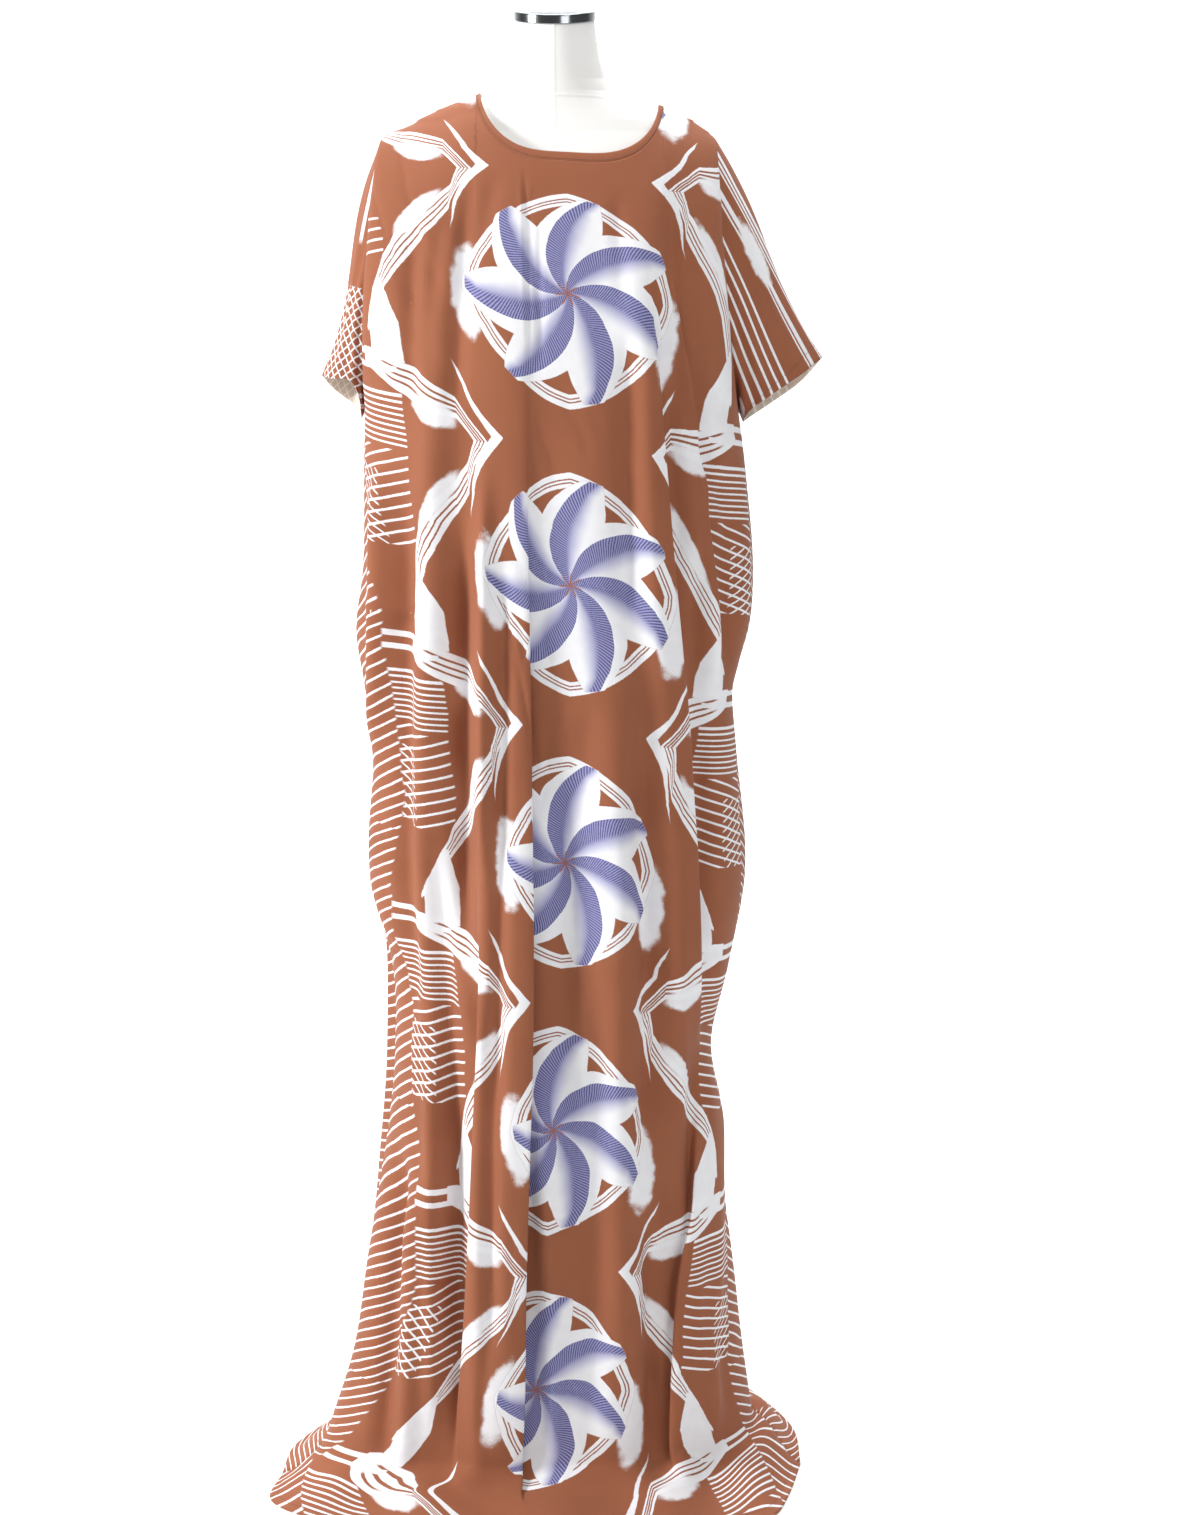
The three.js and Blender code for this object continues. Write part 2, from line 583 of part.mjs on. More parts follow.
// A sleeve: a flattened tube from the armhole to the hem, open at both ends
function sleeve({ side, front, back }) {
  const armholePoint = (face, share) => {
    const below = (share - SLEEVE.chestShare) / (1 - SLEEVE.chestShare);
    const underarm = (WALL.topZ - SLEEVE.underarmZ) / (WALL.topZ - WALL.bottomZ);
    const down = below < 0 ? share / SLEEVE.chestShare : 1 + below * underarm;
    const point = basePoint(face, side, down);
    return point.add(new THREE.Vector3(side * CLOTH.armholeGap, 0, 0));
  };
  const loop = [];
  const half = SLEEVE.columns / 2;
  for (let index = 0; index < SLEEVE.columns; index += 1) {
    const face = index < half ? -1 : 1;
    const share = index < half ? index / half : (SLEEVE.columns - index) / half;
    loop.push({ face, share });
  }
  const grid = [];
  for (let row = 0; row < SLEEVE.rows; row += 1) {
    const out = row / (SLEEVE.rows - 1);
    grid.push(loop.map(({ face, share }) => {
      const hem = face < 0 ? front : back;
      const start = armholePoint(face, share);
      const end = new THREE.Vector3(
        follow(hem, 'share', 'x', share), follow(hem, 'share', 'y', share), follow(hem, 'share', 'z', share),
      );
      const bulge = Math.sin(2 * Math.PI * out) * SLEEVE.shoulderBulge * (1 - share);
      return start.lerp(end, out).add(new THREE.Vector3(side * bulge, 0, bulge * 0.3));
    }));
  }
  return wallFromGrid(grid, (row, column) => {
    if (row > 0) {
      return null;
    }
    const ahead = grid[0][(column + 1) % SLEEVE.columns];
    const behind = grid[0][(column + SLEEVE.columns - 1) % SLEEVE.columns];
    return new THREE.Vector3(0, behind.z - ahead.z, ahead.y - behind.y).normalize();
  }, true, -side);
}

// The turns round the neck at which the columns of a panel's top edge meet it
function neckAngles(face, pleats, spacing) {
  const shares = topShares(columnShares(pleatsAcross(face, pleats, 0), spacing));
  const halfHole = NECK.halfWidth + NECK.bindingWidth + CLOTH.seamGap;
  return shares.map((share) => (chestPoint(face, share, 0).x - NECK.middleX) / halfHole)
    .filter((across) => Math.abs(across) < 0.99999)
    .map((across) => Math.acos(Math.sign(across) * Math.abs(across) ** (NECK.roundness / 2)))
    .map((angle) => (face < 0 ? angle : 2 * Math.PI - angle));
}

// The narrow neck edge: a band of cloth round the neck hole, its own width inside the panels
function neckBinding(angles) {
  const grid = [0, 1].map((row) => angles.map((angle) => neckPoint(angle, row * NECK.bindingWidth)));
  return wallFromGrid(grid, (row, column) => neckNormal(angles[column]), true);
}

// Rings of one oval section each, closed at the bottom and the top
function lofted(rings, sides) {
  const positions = [];
  const faces = [];
  const rounded = (value, power) => Math.sign(value) * Math.abs(value) ** (2 / power);
  rings.forEach(({ z, half, front, back, power, tilt }) => {
    for (let index = 0; index < sides; index += 1) {
      const angle = index / sides * Math.PI * 2;
      const y = rounded(Math.sin(angle), power) * (Math.sin(angle) < 0 ? -front : back);
      positions.push(rounded(Math.cos(angle), power) * half, y, z + tilt * y);
    }
  });
  for (let ring = 0; ring < rings.length - 1; ring += 1) {
    for (let index = 0; index < sides; index += 1) {
      const next = (index + 1) % sides;
      const [a, b] = [ring * sides + index, ring * sides + next];
      faces.push(a, b, b + sides, a, b + sides, a + sides);
    }
  }
  const top = (rings.length - 1) * sides;
  for (let index = 1; index < sides - 1; index += 1) {
    faces.push(0, index + 1, index, top, top + index, top + index + 1);
  }
  return solid(positions, faces);
}

function neckCap() {
  const neck = FORM_RINGS[FORM_RINGS.length - 1];
  const layer = (lift, grow) => ({
    z: neck.z + CAP.seatGap + lift,
    half: neck.half + grow,
    front: neck.front - grow,
    back: neck.back + grow,
    power: neck.power,
    tilt: CAP.tilt,
  });
  return lofted([
    layer(0, CAP.overhang - 0.6), layer(0.8, CAP.overhang), layer(CAP.height - 0.8, CAP.overhang),
    layer(CAP.height, CAP.overhang - 0.8), layer(CAP.height + CAP.crownHeight * 0.7, -9),
    layer(CAP.height + CAP.crownHeight, -24),
  ], FORM.sides);
}

function disc(radius, height, bottomZ, chamfer) {
  const profile = [
    [0, 0], [radius, 0], [radius, height - chamfer], [radius - chamfer, height], [0, height],
  ].map(([x, y]) => new THREE.Vector2(x, y));
  return new THREE.LatheGeometry(profile, STAND.sides).rotateX(Math.PI / 2).translate(0, 0, bottomZ);
}

const group = new THREE.Group();

function add(name, geometry, material) {
  const mesh = new THREE.Mesh(geometry, MATERIALS[material]);
  mesh.name = name;
  group.add(mesh);
}

const panelDowns = sequence([
  { from: 0, to: 1, count: 7 }, { to: 2, count: 20 }, { to: 3, count: 5 },
]);

const frontSpacing = [7, 3, 5, 1, 4];
const backSpacing = [5, 5, 5];

add('front', panel(-1, FRONT_PLEATS, FRONT_WAVES, frontSpacing, panelDowns), 'cloth');
add('back', panel(1, BACK_PLEATS, BACK_WAVES, backSpacing, panelDowns), 'cloth');
Object.entries(SLEEVES).forEach(([name, shape]) => add(name, sleeve(shape), 'cloth'));
add('neck_binding', neckBinding([
  0, ...neckAngles(-1, FRONT_PLEATS, frontSpacing).reverse(),
  Math.PI, ...neckAngles(1, BACK_PLEATS, backSpacing),
]), 'neck');
add('form_torso', lofted(FORM_RINGS, FORM.sides), 'form');
add('neck_cap', neckCap(), 'chrome');
add('pole', disc(STAND.poleRadius, STAND.formBottomZ - STAND.baseHeight - 2 * STAND.gap,
  STAND.baseHeight + STAND.gap, 1), 'stand');
add('base', disc(STAND.baseRadius, STAND.baseHeight, 0, 3), 'stand');

export default group;
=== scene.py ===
"""A bati dress on a limbless dress form: one printed cloth folded over the shoulders, with a round
neck, short grown-on sleeves and a long skirt that spreads on the floor.

Run by Blender 4.5. Sizes in the tables are millimetres, the meshes are metres, +Z is up and the
front faces -Y. The print lies on the cloth's own coordinates: across from the middle of the motifs
and down from the uppermost motif on the front.
"""
import math
from functools import lru_cache

import bpy
import numpy as np
from mathutils import Matrix, Vector


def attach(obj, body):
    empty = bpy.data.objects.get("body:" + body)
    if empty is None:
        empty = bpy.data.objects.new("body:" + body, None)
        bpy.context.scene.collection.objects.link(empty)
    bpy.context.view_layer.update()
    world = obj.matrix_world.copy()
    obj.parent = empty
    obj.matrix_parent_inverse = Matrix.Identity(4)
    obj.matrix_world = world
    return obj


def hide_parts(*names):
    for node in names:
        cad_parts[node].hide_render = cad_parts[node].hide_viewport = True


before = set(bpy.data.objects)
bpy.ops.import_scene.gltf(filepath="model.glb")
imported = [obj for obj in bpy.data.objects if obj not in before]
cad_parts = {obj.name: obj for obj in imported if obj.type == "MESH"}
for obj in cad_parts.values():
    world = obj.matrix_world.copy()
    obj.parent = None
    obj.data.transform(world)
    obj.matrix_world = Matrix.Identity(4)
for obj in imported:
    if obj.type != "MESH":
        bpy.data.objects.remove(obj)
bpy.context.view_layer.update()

bl_info = {
    "name": "Bati Dress",
    "version": (1, 0, 0),
    "blender": (4, 5, 0),
    "location": "View3D > Sidebar > Bati Dress",
    "description": "Builds a printed bati dress on a dress form around its packed part",
    "category": "Object",
}

MM = 0.001

# The dress: its neck, its wall and its sleeves
NECK_X, NECK_HALF, NECK_FRONT, NECK_BACK, NECK_ROUND = 16, 93.5, 85, 58, 3
NECK_EDGE, NECK_FAN = 5, 32
WALL_TOP, WALL_FOOT, FOOT_OUT = 1400, 46, 16
SHOULDER_LEFT, SHOULDER_RIGHT, SHOULDER_FROM = 12, -5, 0.55
UNDERARM_Z, CHEST_SHARE, SHOULDER_BULGE = 1214, 0.35, 4
FORM_BOTTOM_Z = 780
RIDGE_CLEARANCE, SIDE_CLEARANCE, RIDGE_HALF_WIDTH = 0.5, 3.5, 5
FLOOR_LIFT, HALF_CLOTH = 0.3, 0.6
# A fold's middle stays this share of a section's half width from its own middle
WIDEST_REACH = 0.985
FRONT, BACK = -1, 1


def table(names, *rows):
    """A table with named columns."""
    return {name: np.array([row[index] for row in rows], float) for index, name in enumerate(names.split())}


SECTIONS = table(
    "z left right front back seam_left seam_right armhole",
    (1470, -189, 171, -98, 84, 0, 0, 34), (1400, -196, 176, -119, 95, 0, 0, 50),
    (1320, -203, 184, -139, 101, 0, 0, 52), (1255, -206, 191, -143, 102, 0, 0, 33),
    (1214, -207, 198, -143, 102, 0, 0, 0), (1140, -209, 208, -142, 101, 0, 2, 0),
    (1040, -213, 217, -141, 100, 0, 3, 0), (975, -221, 213, -141, 100, 0, 3, 0),
    (910, -213, 196, -141, 100, 0, 3, 0), (840, -205, 200, -141, 101, 0, 3, 0),
    (700, -211, 212, -142, 102, 0, 3, 0), (590, -188, 194, -142, 103, 0, 3, 0),
    (500, -186, 174, -143, 104, 0, 0, 0), (420, -192, 178, -143, 106, -4, 0, 0),
    (335, -205, 188, -144, 109, -12, 0, 0), (250, -219, 200, -146, 112, -24, 0, 0),
    (140, -236, 213, -149, 117, -46, 2, 0), (46, -266, 226, -153, 124, -66, 4, 0),
)
RIDGE = table(
    "x z",
    (-192, 1496), (-182, 1503.5), (-160, 1511), (-140, 1519.5), (-115, 1529.4), (-83, 1541.6),
    (-40, 1548), (16, 1550), (70, 1546), (115, 1530), (140, 1518.5), (160, 1508), (170, 1500.5),
    (178, 1492),
)
HEMS = {
    FRONT: table(
        "share x y rise",
        (-1, -318, -84, 5), (-0.86, -324, -146, 2), (-0.7, -276, -188, 9), (-0.52, -214, -206, 1),
        (-0.36, -150, -236, 7), (-0.18, -74, -226, 1), (0, 8, -244, 6), (0.2, 84, -226, 1),
        (0.38, 138, -238, 8), (0.56, 192, -204, 1), (0.72, 240, -186, 12), (0.86, 262, -136, 16),
        (1, 281, -62, 20),
    ),
    BACK: table(
        "share x y rise",
        (-1, -318, -84, 5), (-0.88, -312, -14, 9), (-0.72, -262, 72, 2), (-0.55, -214, 122, 10),
        (-0.35, -122, 146, 2), (-0.15, -50, 184, 9), (0.05, 24, 170, 1), (0.25, 104, 192, 11),
        (0.45, 158, 162, 3), (0.62, 216, 152, 13), (0.78, 250, 102, 8), (0.9, 280, 24, 22),
        (1, 281, -62, 20),
    ),
}

# Pleats lie over themselves: half width, columns, and along the fold its x, the cloth it turns
# back and how far its layers part (above 0 the left layer lies on top)
PLEATS = {
    FRONT: [
        (17, 6, table("z x turn part", (1500, -128, 0, 0), (1400, -92, 0, 0), (900, -84, 0, -3),
                      (700, -82, 3, -5), (540, -80, 9, -8), (290, -93, 9, -9), (110, -112, 7, -8),
                      (40, -114, 2, -5), (0, -110, 0, 0))),
        (26, 9, table("z x turn part", (1480, -26, 0, 0.6), (1190, -27, 6, 3), (1000, -29, 13, 6),
                      (810, -32, 19, 9), (560, -36, 24, 12), (260, -51, 30, 14), (120, -52, 28, 11),
                      (60, -52, 25, 7), (30, -50, 21, 4), (12, -47, 15, 2.5), (0, -44, 9, 1.5))),
        (16, 8, table("z x turn part", (1500, 84, 0, 0), (1420, 96, 0, 0), (1343, 100, 3, 4),
                      (1267, 105, 8, 8), (1076, 118, 12, 10), (876, 135, 14, 11), (664, 149, 13, 11),
                      (560, 158, 4, 7), (500, 157, 0, 0), (440, 154, 3, -6), (360, 147, 9, -10),
                      (220, 134, 11, -11), (60, 128, 9, -10), (25, 129, 2, -6), (0, 130, 0, 0))),
        (14, 6, table("z x turn part", (1500, 152, 0, 0), (1440, 128, 0, 0), (1380, 126, 2, 4),
                      (1250, 142, 7, 8), (1100, 160, 8, 9), (980, 177, 5, 7), (900, 180, 0, 0),
                      (600, 176, 0, 0), (0, 190, 0, 0))),
    ],
    BACK: [
        (22, 7, table("z x turn part", (1440, -70, 0, 0), (1200, -78, 5, 4), (900, -84, 13, 8),
                      (400, -92, 17, 11), (60, -104, 14, 12), (25, -102, 3, 8), (0, -100, 0, 0))),
        (20, 7, table("z x turn part", (1440, 60, 0, 0), (1100, 66, 5, -4), (800, 78, 12, -8),
                      (300, 96, 16, -10), (60, 108, 12, -12), (25, 108, 3, -8), (0, 108, 0, 0))),
    ],
}
SPACING = {FRONT: (7, 3, 5, 1, 4), BACK: (5, 5, 5)}
# How many times finer the columns are, and the rows over the chest, the wall and the floor
FINENESS = {FRONT: 5, BACK: 6}
ROW_COUNTS = {FRONT: (36, 124, 34), BACK: (26, 84, 26)}

# Soft troughs and ridges: x at the top and at the foot, where they start and end, half width, height.
# Each height is multiplied by the depth.
WAVE_DEPTH = 2.1
WAVES = {
    FRONT: (
        (-132, -108, 800, 40, 13, -8), (-160, -166, 1180, 560, 14, -7), (-120, -150, 1300, 700, 18, 6),
        (-178, -200, 420, 30, 12, -9), (-150, -176, 400, 30, 12, 7), (60, 74, 1000, 200, 22, 5),
        (176, 172, 520, 30, 13, 6), (10, 20, 900, 60, 20, -5), (186, 196, 1180, 960, 12, -6),
        (-96, -104, 1120, 640, 12, -7), (-72, -78, 1180, 760, 10, 5), (-186, -196, 1180, 860, 9, 6),
        (-52, -60, 1080, 500, 8, -4), (92, 104, 900, 420, 12, -6), (44, 40, 620, 90, 11, -5),
        (124, 140, 700, 300, 11, 5), (152, 166, 1100, 760, 10, -6), (-134, -140, 560, 120, 10, 6),
        (-18, -4, 500, 80, 12, 4), (100, 112, 360, 60, 10, -6), (-64, -72, 640, 200, 9, -5),
        (78, 80, 1320, 1020, 12, -4), (-90, -104, 1440, 1230, 12, -3.5), (-146, -152, 1420, 1240, 11, -4),
        (120, 132, 1440, 1220, 10, -4),
    ),
    BACK: (
        (-150, -190, 1280, 40, 22, 8), (-20, -10, 1300, 60, 26, -8), (130, 170, 1250, 60, 20, 7),
        (30, 44, 900, 60, 18, 7), (-130, -150, 760, 60, 16, -7), (170, 200, 900, 60, 16, -7),
    ),
}

# Fine creases pressed or pulled into the cloth: from x, z to x, z, half width, depth
CREASES = {
    FRONT: (
        (-30, 1470, -25, 1290, 3, -1.6), (-14, 1400, -12, 1270, 4, -1.1), (10, 1230, 36, 1178, 4, -1.5),
        (36, 1245, 62, 1196, 4, 1.2), (-18, 1200, 2, 1158, 5, -1.3), (-42, 1010, -30, 960, 4, -2.2),
        (-28, 1020, -8, 982, 5, 1.6), (-66, 1060, -52, 985, 5, -1.4), (20, 1108, 66, 1090, 4, -1.0),
        (-150, 1010, -176, 986, 6, -3), (-196, 1020, -168, 990, 5, -3), (-186, 972, -150, 958, 6, 2.4),
        (-150, 1300, -120, 1262, 8, -2.6), (-170, 1250, -138, 1290, 8, 2.4),
        (-120, 1400, -132, 1290, 9, -2.4), (-96, 1440, -112, 1330, 8, 1.8), (-60, 1455, -88, 1330, 9, -1.6),
        (66, 1430, 72, 1330, 8, -1.6),
        (140, 1195, 186, 1120, 9, -4), (150, 1150, 190, 1080, 9, 3), (168, 1230, 196, 1190, 8, -3),
        (40, 900, 20, 800, 12, -1.6), (86, 1000, 100, 860, 12, -2), (70, 760, 92, 600, 14, 2),
        (-60, 820, -66, 640, 9, -2.2), (-108, 690, -98, 520, 9, 2.2), (-142, 660, -120, 470, 8, -3),
        (-118, 440, -124, 300, 6, -2.4), (60, 480, 74, 300, 13, -2), (100, 420, 104, 240, 10, 2.2),
        (30, 300, 34, 120, 12, -1.8), (-20, 420, -12, 260, 8, 1.8), (-160, 330, -190, 200, 9, 3),
        (150, 250, 160, 110, 9, 3), (175, 190, 196, 80, 9, -4), (-80, 200, -84, 80, 8, -2.4),
        (112, 150, 100, 96, 6, -2.6), (-196, 700, -170, 640, 9, -3), (180, 800, 160, 720, 9, -3),
    ),
    BACK: (
        (-60, 1440, -64, 1300, 9, -2), (60, 1430, 70, 1280, 9, 2), (-120, 1300, -80, 1240, 10, -2.4),
        (120, 1290, 84, 1230, 10, -2.4), (0, 1200, 10, 1060, 12, 1.8), (-100, 1000, -84, 860, 10, -2.4),
        (110, 980, 120, 820, 10, 2.4), (20, 760, 16, 600, 12, -2), (-60, 640, -66, 480, 10, 2.2),
        (140, 620, 150, 460, 9, -2.6), (60, 420, 66, 280, 10, -2.4), (-140, 420, -150, 250, 10, 2.6),
        (-30, 300, -36, 140, 9, -2.2), (0, 1150, -50, 1120, 8, -1.6), (10, 1000, 50, 974, 8, 1.4),
    ),
}

SLEEVES = {
    "left_sleeve": (-1, {
        FRONT: table("share x y z", (0, -255, 4, 1249), (0.3, -243, -26, 1247), (0.62, -221, -36, 1245),
                     (0.86, -213, -22, 1226), (1, -213, 2, 1203)),
        BACK: table("share x y z", (0, -255, 4, 1249), (0.3, -247, 36, 1234), (0.62, -229, 50, 1218),
                    (0.86, -216, 32, 1208), (1, -213, 2, 1203)),
    }),
    "right_sleeve": (1, {
        FRONT: table("share x y z", (0, 290, 4, 1268), (0.3, 266, -24, 1252), (0.62, 233, -34, 1230),
                     (0.86, 210, -22, 1212), (1, 205, 2, 1199)),
        BACK: table("share x y z", (0, 290, 4, 1268), (0.3, 268, 34, 1240), (0.62, 236, 46, 1216),
                    (0.86, 214, 30, 1203), (1, 205, 2, 1199)),
    }),
}

FORM_RINGS = table(
    "z half front back power tilt",
    (780, 140, -84, 70, 2, 0), (786, 152, -92, 78, 2, 0), (810, 160, -98, 84, 2, 0),
    (870, 166, -104, 87, 2, 0), (930, 162, -102, 84, 2, 0), (1010, 142, -92, 78, 2, 0),
    (1090, 121, -84, 70, 2, 0), (1170, 125, -98, 70, 2, 0), (1240, 138, -119, 76, 2, 0),
    (1295, 144, -127, 82, 2, 0), (1345, 149, -120, 86, 2, 0), (1400, 160, -103, 85, 2, 0),
    (1440, 169, -90, 79, 2, 0), (1466, 174, -80, 70, 2, 0), (1483, 175, -72, 60, 1.9, 0),
    (1493, 170, -66, 53, 1.9, 0), (1505, 159, -60, 48, 1.8, 0), (1517, 140, -55, 44, 1.8, 0),
    (1528, 115, -51, 41, 1.8, 0), (1539.6, 83, -48, 39, 1.8, 0), (1548, 65, -47, 37, 1.9, 0.02),
    (1561, 54, -46, 36, 2, 0.05), (1585, 47, -46, 33, 2, 0.1), (1610, 43.5, -46, 31, 2, 0.16),
    (1622, 42, -47, 30, 2, 0.19),
)
CAP_HEIGHT, CAP_CROWN, CAP_OVERHANG, CAP_SEAT, CAP_TILT = 9.5, 3, 1.5, 0.3, 0.19

# The motifs' column on the front: its x at each height, and how the print leans across the cloth
MOTIF_LINE = table(
    "z x lean",
    (1550, 14, 0.12), (1338, 15, 0.12), (1042, 18, 0.12), (740, 12, 0.11), (436, -4, 0.06),
    (250, -14, 0.03), (128, -23, 0), (0, -28, 0),
)
MOTIF_TOP_Z, MOTIF_PITCH = 1338, 302
# Across the cloth, the sleeves' print starts here
SLEEVE_FROM = 700

# Cloth hidden in small folds left of the motifs, at each height
TAKEN_UP = table(
    "z cloth",
    (1550, 5), (1471, 7), (1338, 3), (1191, 18), (1042, 12), (891, 9), (579, 2), (400, 0),
)


def smooth(value):
    share = np.clip(value, 0, 1)
    return share * share * (3 - 2 * share)


def mix(a, b, share):
    return a + (b - a) * share


def follow(rows, along, name, at):
    """A smooth curve through one column of a table, along another column."""
    places, values = rows[along], rows[name]
    if places[1] < places[0]:
        places, values = places[::-1], values[::-1]
    at = np.clip(at, places[0], places[-1])
    start = np.clip(np.searchsorted(places, at, side="right") - 1, 0, len(places) - 2)
    before, end, after = np.maximum(start - 1, 0), start + 1, np.minimum(start + 2, len(places) - 1)
    span = places[end] - places[start]
    share = (at - places[start]) / span
    slope_in = (values[end] - values[before]) / (places[end] - places[before]) * span
    slope_out = (values[after] - values[start]) / (places[after] - places[start]) * span
    square, cube = share ** 2, share ** 3
    return ((2 * cube - 3 * square + 1) * values[start] + (cube - 2 * square + share) * slope_in
            + (3 * square - 2 * cube) * values[end] + (cube - square) * slope_out)


def points(x, y, z):
    return np.stack(np.broadcast_arrays(x, y, z), axis=-1).astype(float)


def length(vectors):
    return np.linalg.norm(vectors, axis=-1)


def unit(vectors):
    return vectors / np.maximum(length(vectors)[..., None], 1e-9)


def form_level(place):
    """How far a point stands outside the form's section, as a share of its width."""
    z = place[..., 2]
    ring = {name: np.interp(z, FORM_RINGS["z"], column) for name, column in FORM_RINGS.items()}
    reach = np.where(place[..., 1] < 0, ring["front"], ring["back"])
    power = ring["power"]
    across = np.abs(place[..., 0] / ring["half"]) ** power
    return (across + np.abs(place[..., 1] / reach) ** power) ** (1 / power) - 1


def clear_of_form(place):
    """The points moved out until they lie clear of the form."""
    place = place.copy()
    over_ridge = smooth(np.abs(place[..., 1]) / RIDGE_HALF_WIDTH)
    clearance = HALF_CLOTH + mix(RIDGE_CLEARANCE, SIDE_CLEARANCE, over_ridge)
    step = 0.5
    for _ in range(5):
        level = form_level(place)
        slope = np.stack([form_level(place + step * axis) - level for axis in np.eye(3)], axis=-1) / step
        distance = level / np.maximum(length(slope), 1e-9)
        push = np.maximum(clearance - distance, 0) * (place[..., 2] > FORM_BOTTOM_Z)
        place += unit(slope) * push[..., None]
    return place


def wall_point(face, share, z):
    """The skirt and body at a height: share -1 is the left seam, 1 the right seam."""
    left, right = follow(SECTIONS, "z", "left", z), follow(SECTIONS, "z", "right", z)
    opened = np.maximum(follow(SECTIONS, "z", "armhole", z), 0) * face
    seams = [follow(SECTIONS, "z", name, z) for name in ("seam_left", "seam_right")]
    seam = np.where(share < 0, *seams)
    outer = follow(SECTIONS, "z", "front" if face == FRONT else "back", z)
    turn = share * np.pi / 2
    depth = np.clip(np.cos(turn), 0, 1) ** 0.8
    x = (left + right) / 2 + (right - left) / 2 * np.sin(turn)
    return points(x, mix(seam + opened, outer, depth), z)


def share_of(x, z):
    """The share of the width at which a section reaches an x."""
    left, right = follow(SECTIONS, "z", "left", z), follow(SECTIONS, "z", "right", z)
    reach = np.clip((2 * x - left - right) / (right - left), -WIDEST_REACH, WIDEST_REACH)
    return np.arcsin(reach) * 2 / np.pi


def chest_point(face, share, down):
    """The cloth over the shoulder and chest, as if it had no neck hole."""
    share, down = np.broadcast_arrays(np.asarray(share, float), np.asarray(down, float))
    foot = wall_point(face, share, np.full(share.shape, float(WALL_TOP)))
    narrow = np.where(share < 0, SHOULDER_LEFT, SHOULDER_RIGHT)
    x = foot[..., 0] + narrow * smooth((np.abs(share) - SHOULDER_FROM) / (1 - SHOULDER_FROM))
    top = points(x, 0.0, follow(RIDGE, "x", "z", x))
    drop = (top - foot)[..., 2:]
    rise = wall_point(face, share, np.full(share.shape, WALL_TOP + 20.0)) - foot
    rise[..., 0] = 0
    outer = top + drop * np.array([0, face * 0.42, -0.03])
    lower = foot + unit(rise) * 0.4 * drop
    t = down[..., None]
    return (top * (1 - t) ** 3 + 3 * outer * t * (1 - t) ** 2
            + 3 * lower * t ** 2 * (1 - t) + foot * t ** 3)


def down_at_reach(face, share, reach):
    above, below = np.zeros(np.shape(share)), np.ones(np.shape(share))
    for _ in range(24):
        middle = (above + below) / 2
        short = np.abs(chest_point(face, share, middle)[..., 1]) < reach
        above, below = np.where(short, middle, above), np.where(short, below, middle)
    return above


def rounded(value):
    return np.sign(value) * np.abs(value) ** (2 / NECK_ROUND)


def top_down(face, share, inset=NECK_EDGE):
    """How far down the chest a panel's top edge lies: 0 on the shoulder, more round the neck."""
    x = chest_point(face, share, 1.0)[..., 0]
    across = np.clip(np.abs((x - NECK_X) / (NECK_HALF + inset)), 0, 1)
    deepest = (NECK_FRONT if face == FRONT else NECK_BACK) + inset
    reach = deepest * (1 - across ** NECK_ROUND) ** (1 / NECK_ROUND)
    return np.where(across < 1, down_at_reach(face, share, reach), 0)


def neck_point(angle, inset):
    """The neck edge, moved out over the cloth by an inset. The angle runs right, front, left, back."""
    angle = np.asarray(angle, float)
    x = NECK_X + (NECK_HALF + inset) * rounded(np.cos(angle))
    share = share_of(x, np.full(x.shape, float(WALL_TOP)))
    sides = {}
    for face, reach in ((FRONT, NECK_FRONT), (BACK, NECK_BACK)):
        down = down_at_reach(face, share, (reach + inset) * np.abs(rounded(np.sin(angle))))
        sides[face] = chest_point(face, share, down)
    return clear_of_form(np.where((np.sin(angle) > 0)[..., None], sides[FRONT], sides[BACK]))


def base_point(face, share, down):
    """A panel before its folds: down 0 to 1 is the shoulder and chest, to 2 the wall, to 3 the floor."""
    share, down = np.broadcast_arrays(np.asarray(share, float), np.asarray(down, float))
    grid = np.linspace(-1, 1, 401)
    top = np.interp(share, grid, edge_downs(face))
    chest = clear_of_form(chest_point(face, share, mix(top, 1, np.clip(down, 0, 1))))
    wall = clear_of_form(wall_point(face, share, mix(WALL_TOP, WALL_FOOT, np.clip(down - 1, 0, 1))))
    start = wall_point(face, share, np.full(share.shape, float(WALL_FOOT)))
    hem = HEMS[face]
    floor_z = FLOOR_LIFT + HALF_CLOTH
    end = points(follow(hem, "share", "x", share), follow(hem, "share", "y", share), floor_z)
    outward = end - start
    outward[..., 2] = 0
    bend = start + unit(outward) * FOOT_OUT
    bend[..., 2] = floor_z
    t = np.clip(down - 2, 0, 1)[..., None]
    floor = start * (1 - t) ** 2 + 2 * bend * t * (1 - t) + end * t ** 2
    floor[..., 2] += follow(hem, "share", "rise", share) * np.sin(np.pi * t[..., 0]) ** 2
    return np.where((down < 1)[..., None], chest, np.where((down < 2)[..., None], wall, floor))


@lru_cache(maxsize=None)
def edge_downs(face):
    return top_down(face, np.linspace(-1, 1, 401))


def height_of(down):
    """The height that a fold's path is read at."""
    return np.where(down < 1, mix(1500, WALL_TOP, np.clip(down, 0, 1)),
                    np.where(down < 2, mix(WALL_TOP, WALL_FOOT, np.clip(down - 1, 0, 1)),
                             mix(WALL_FOOT, 0, np.clip(down - 2, 0, 0.5) * 2)))


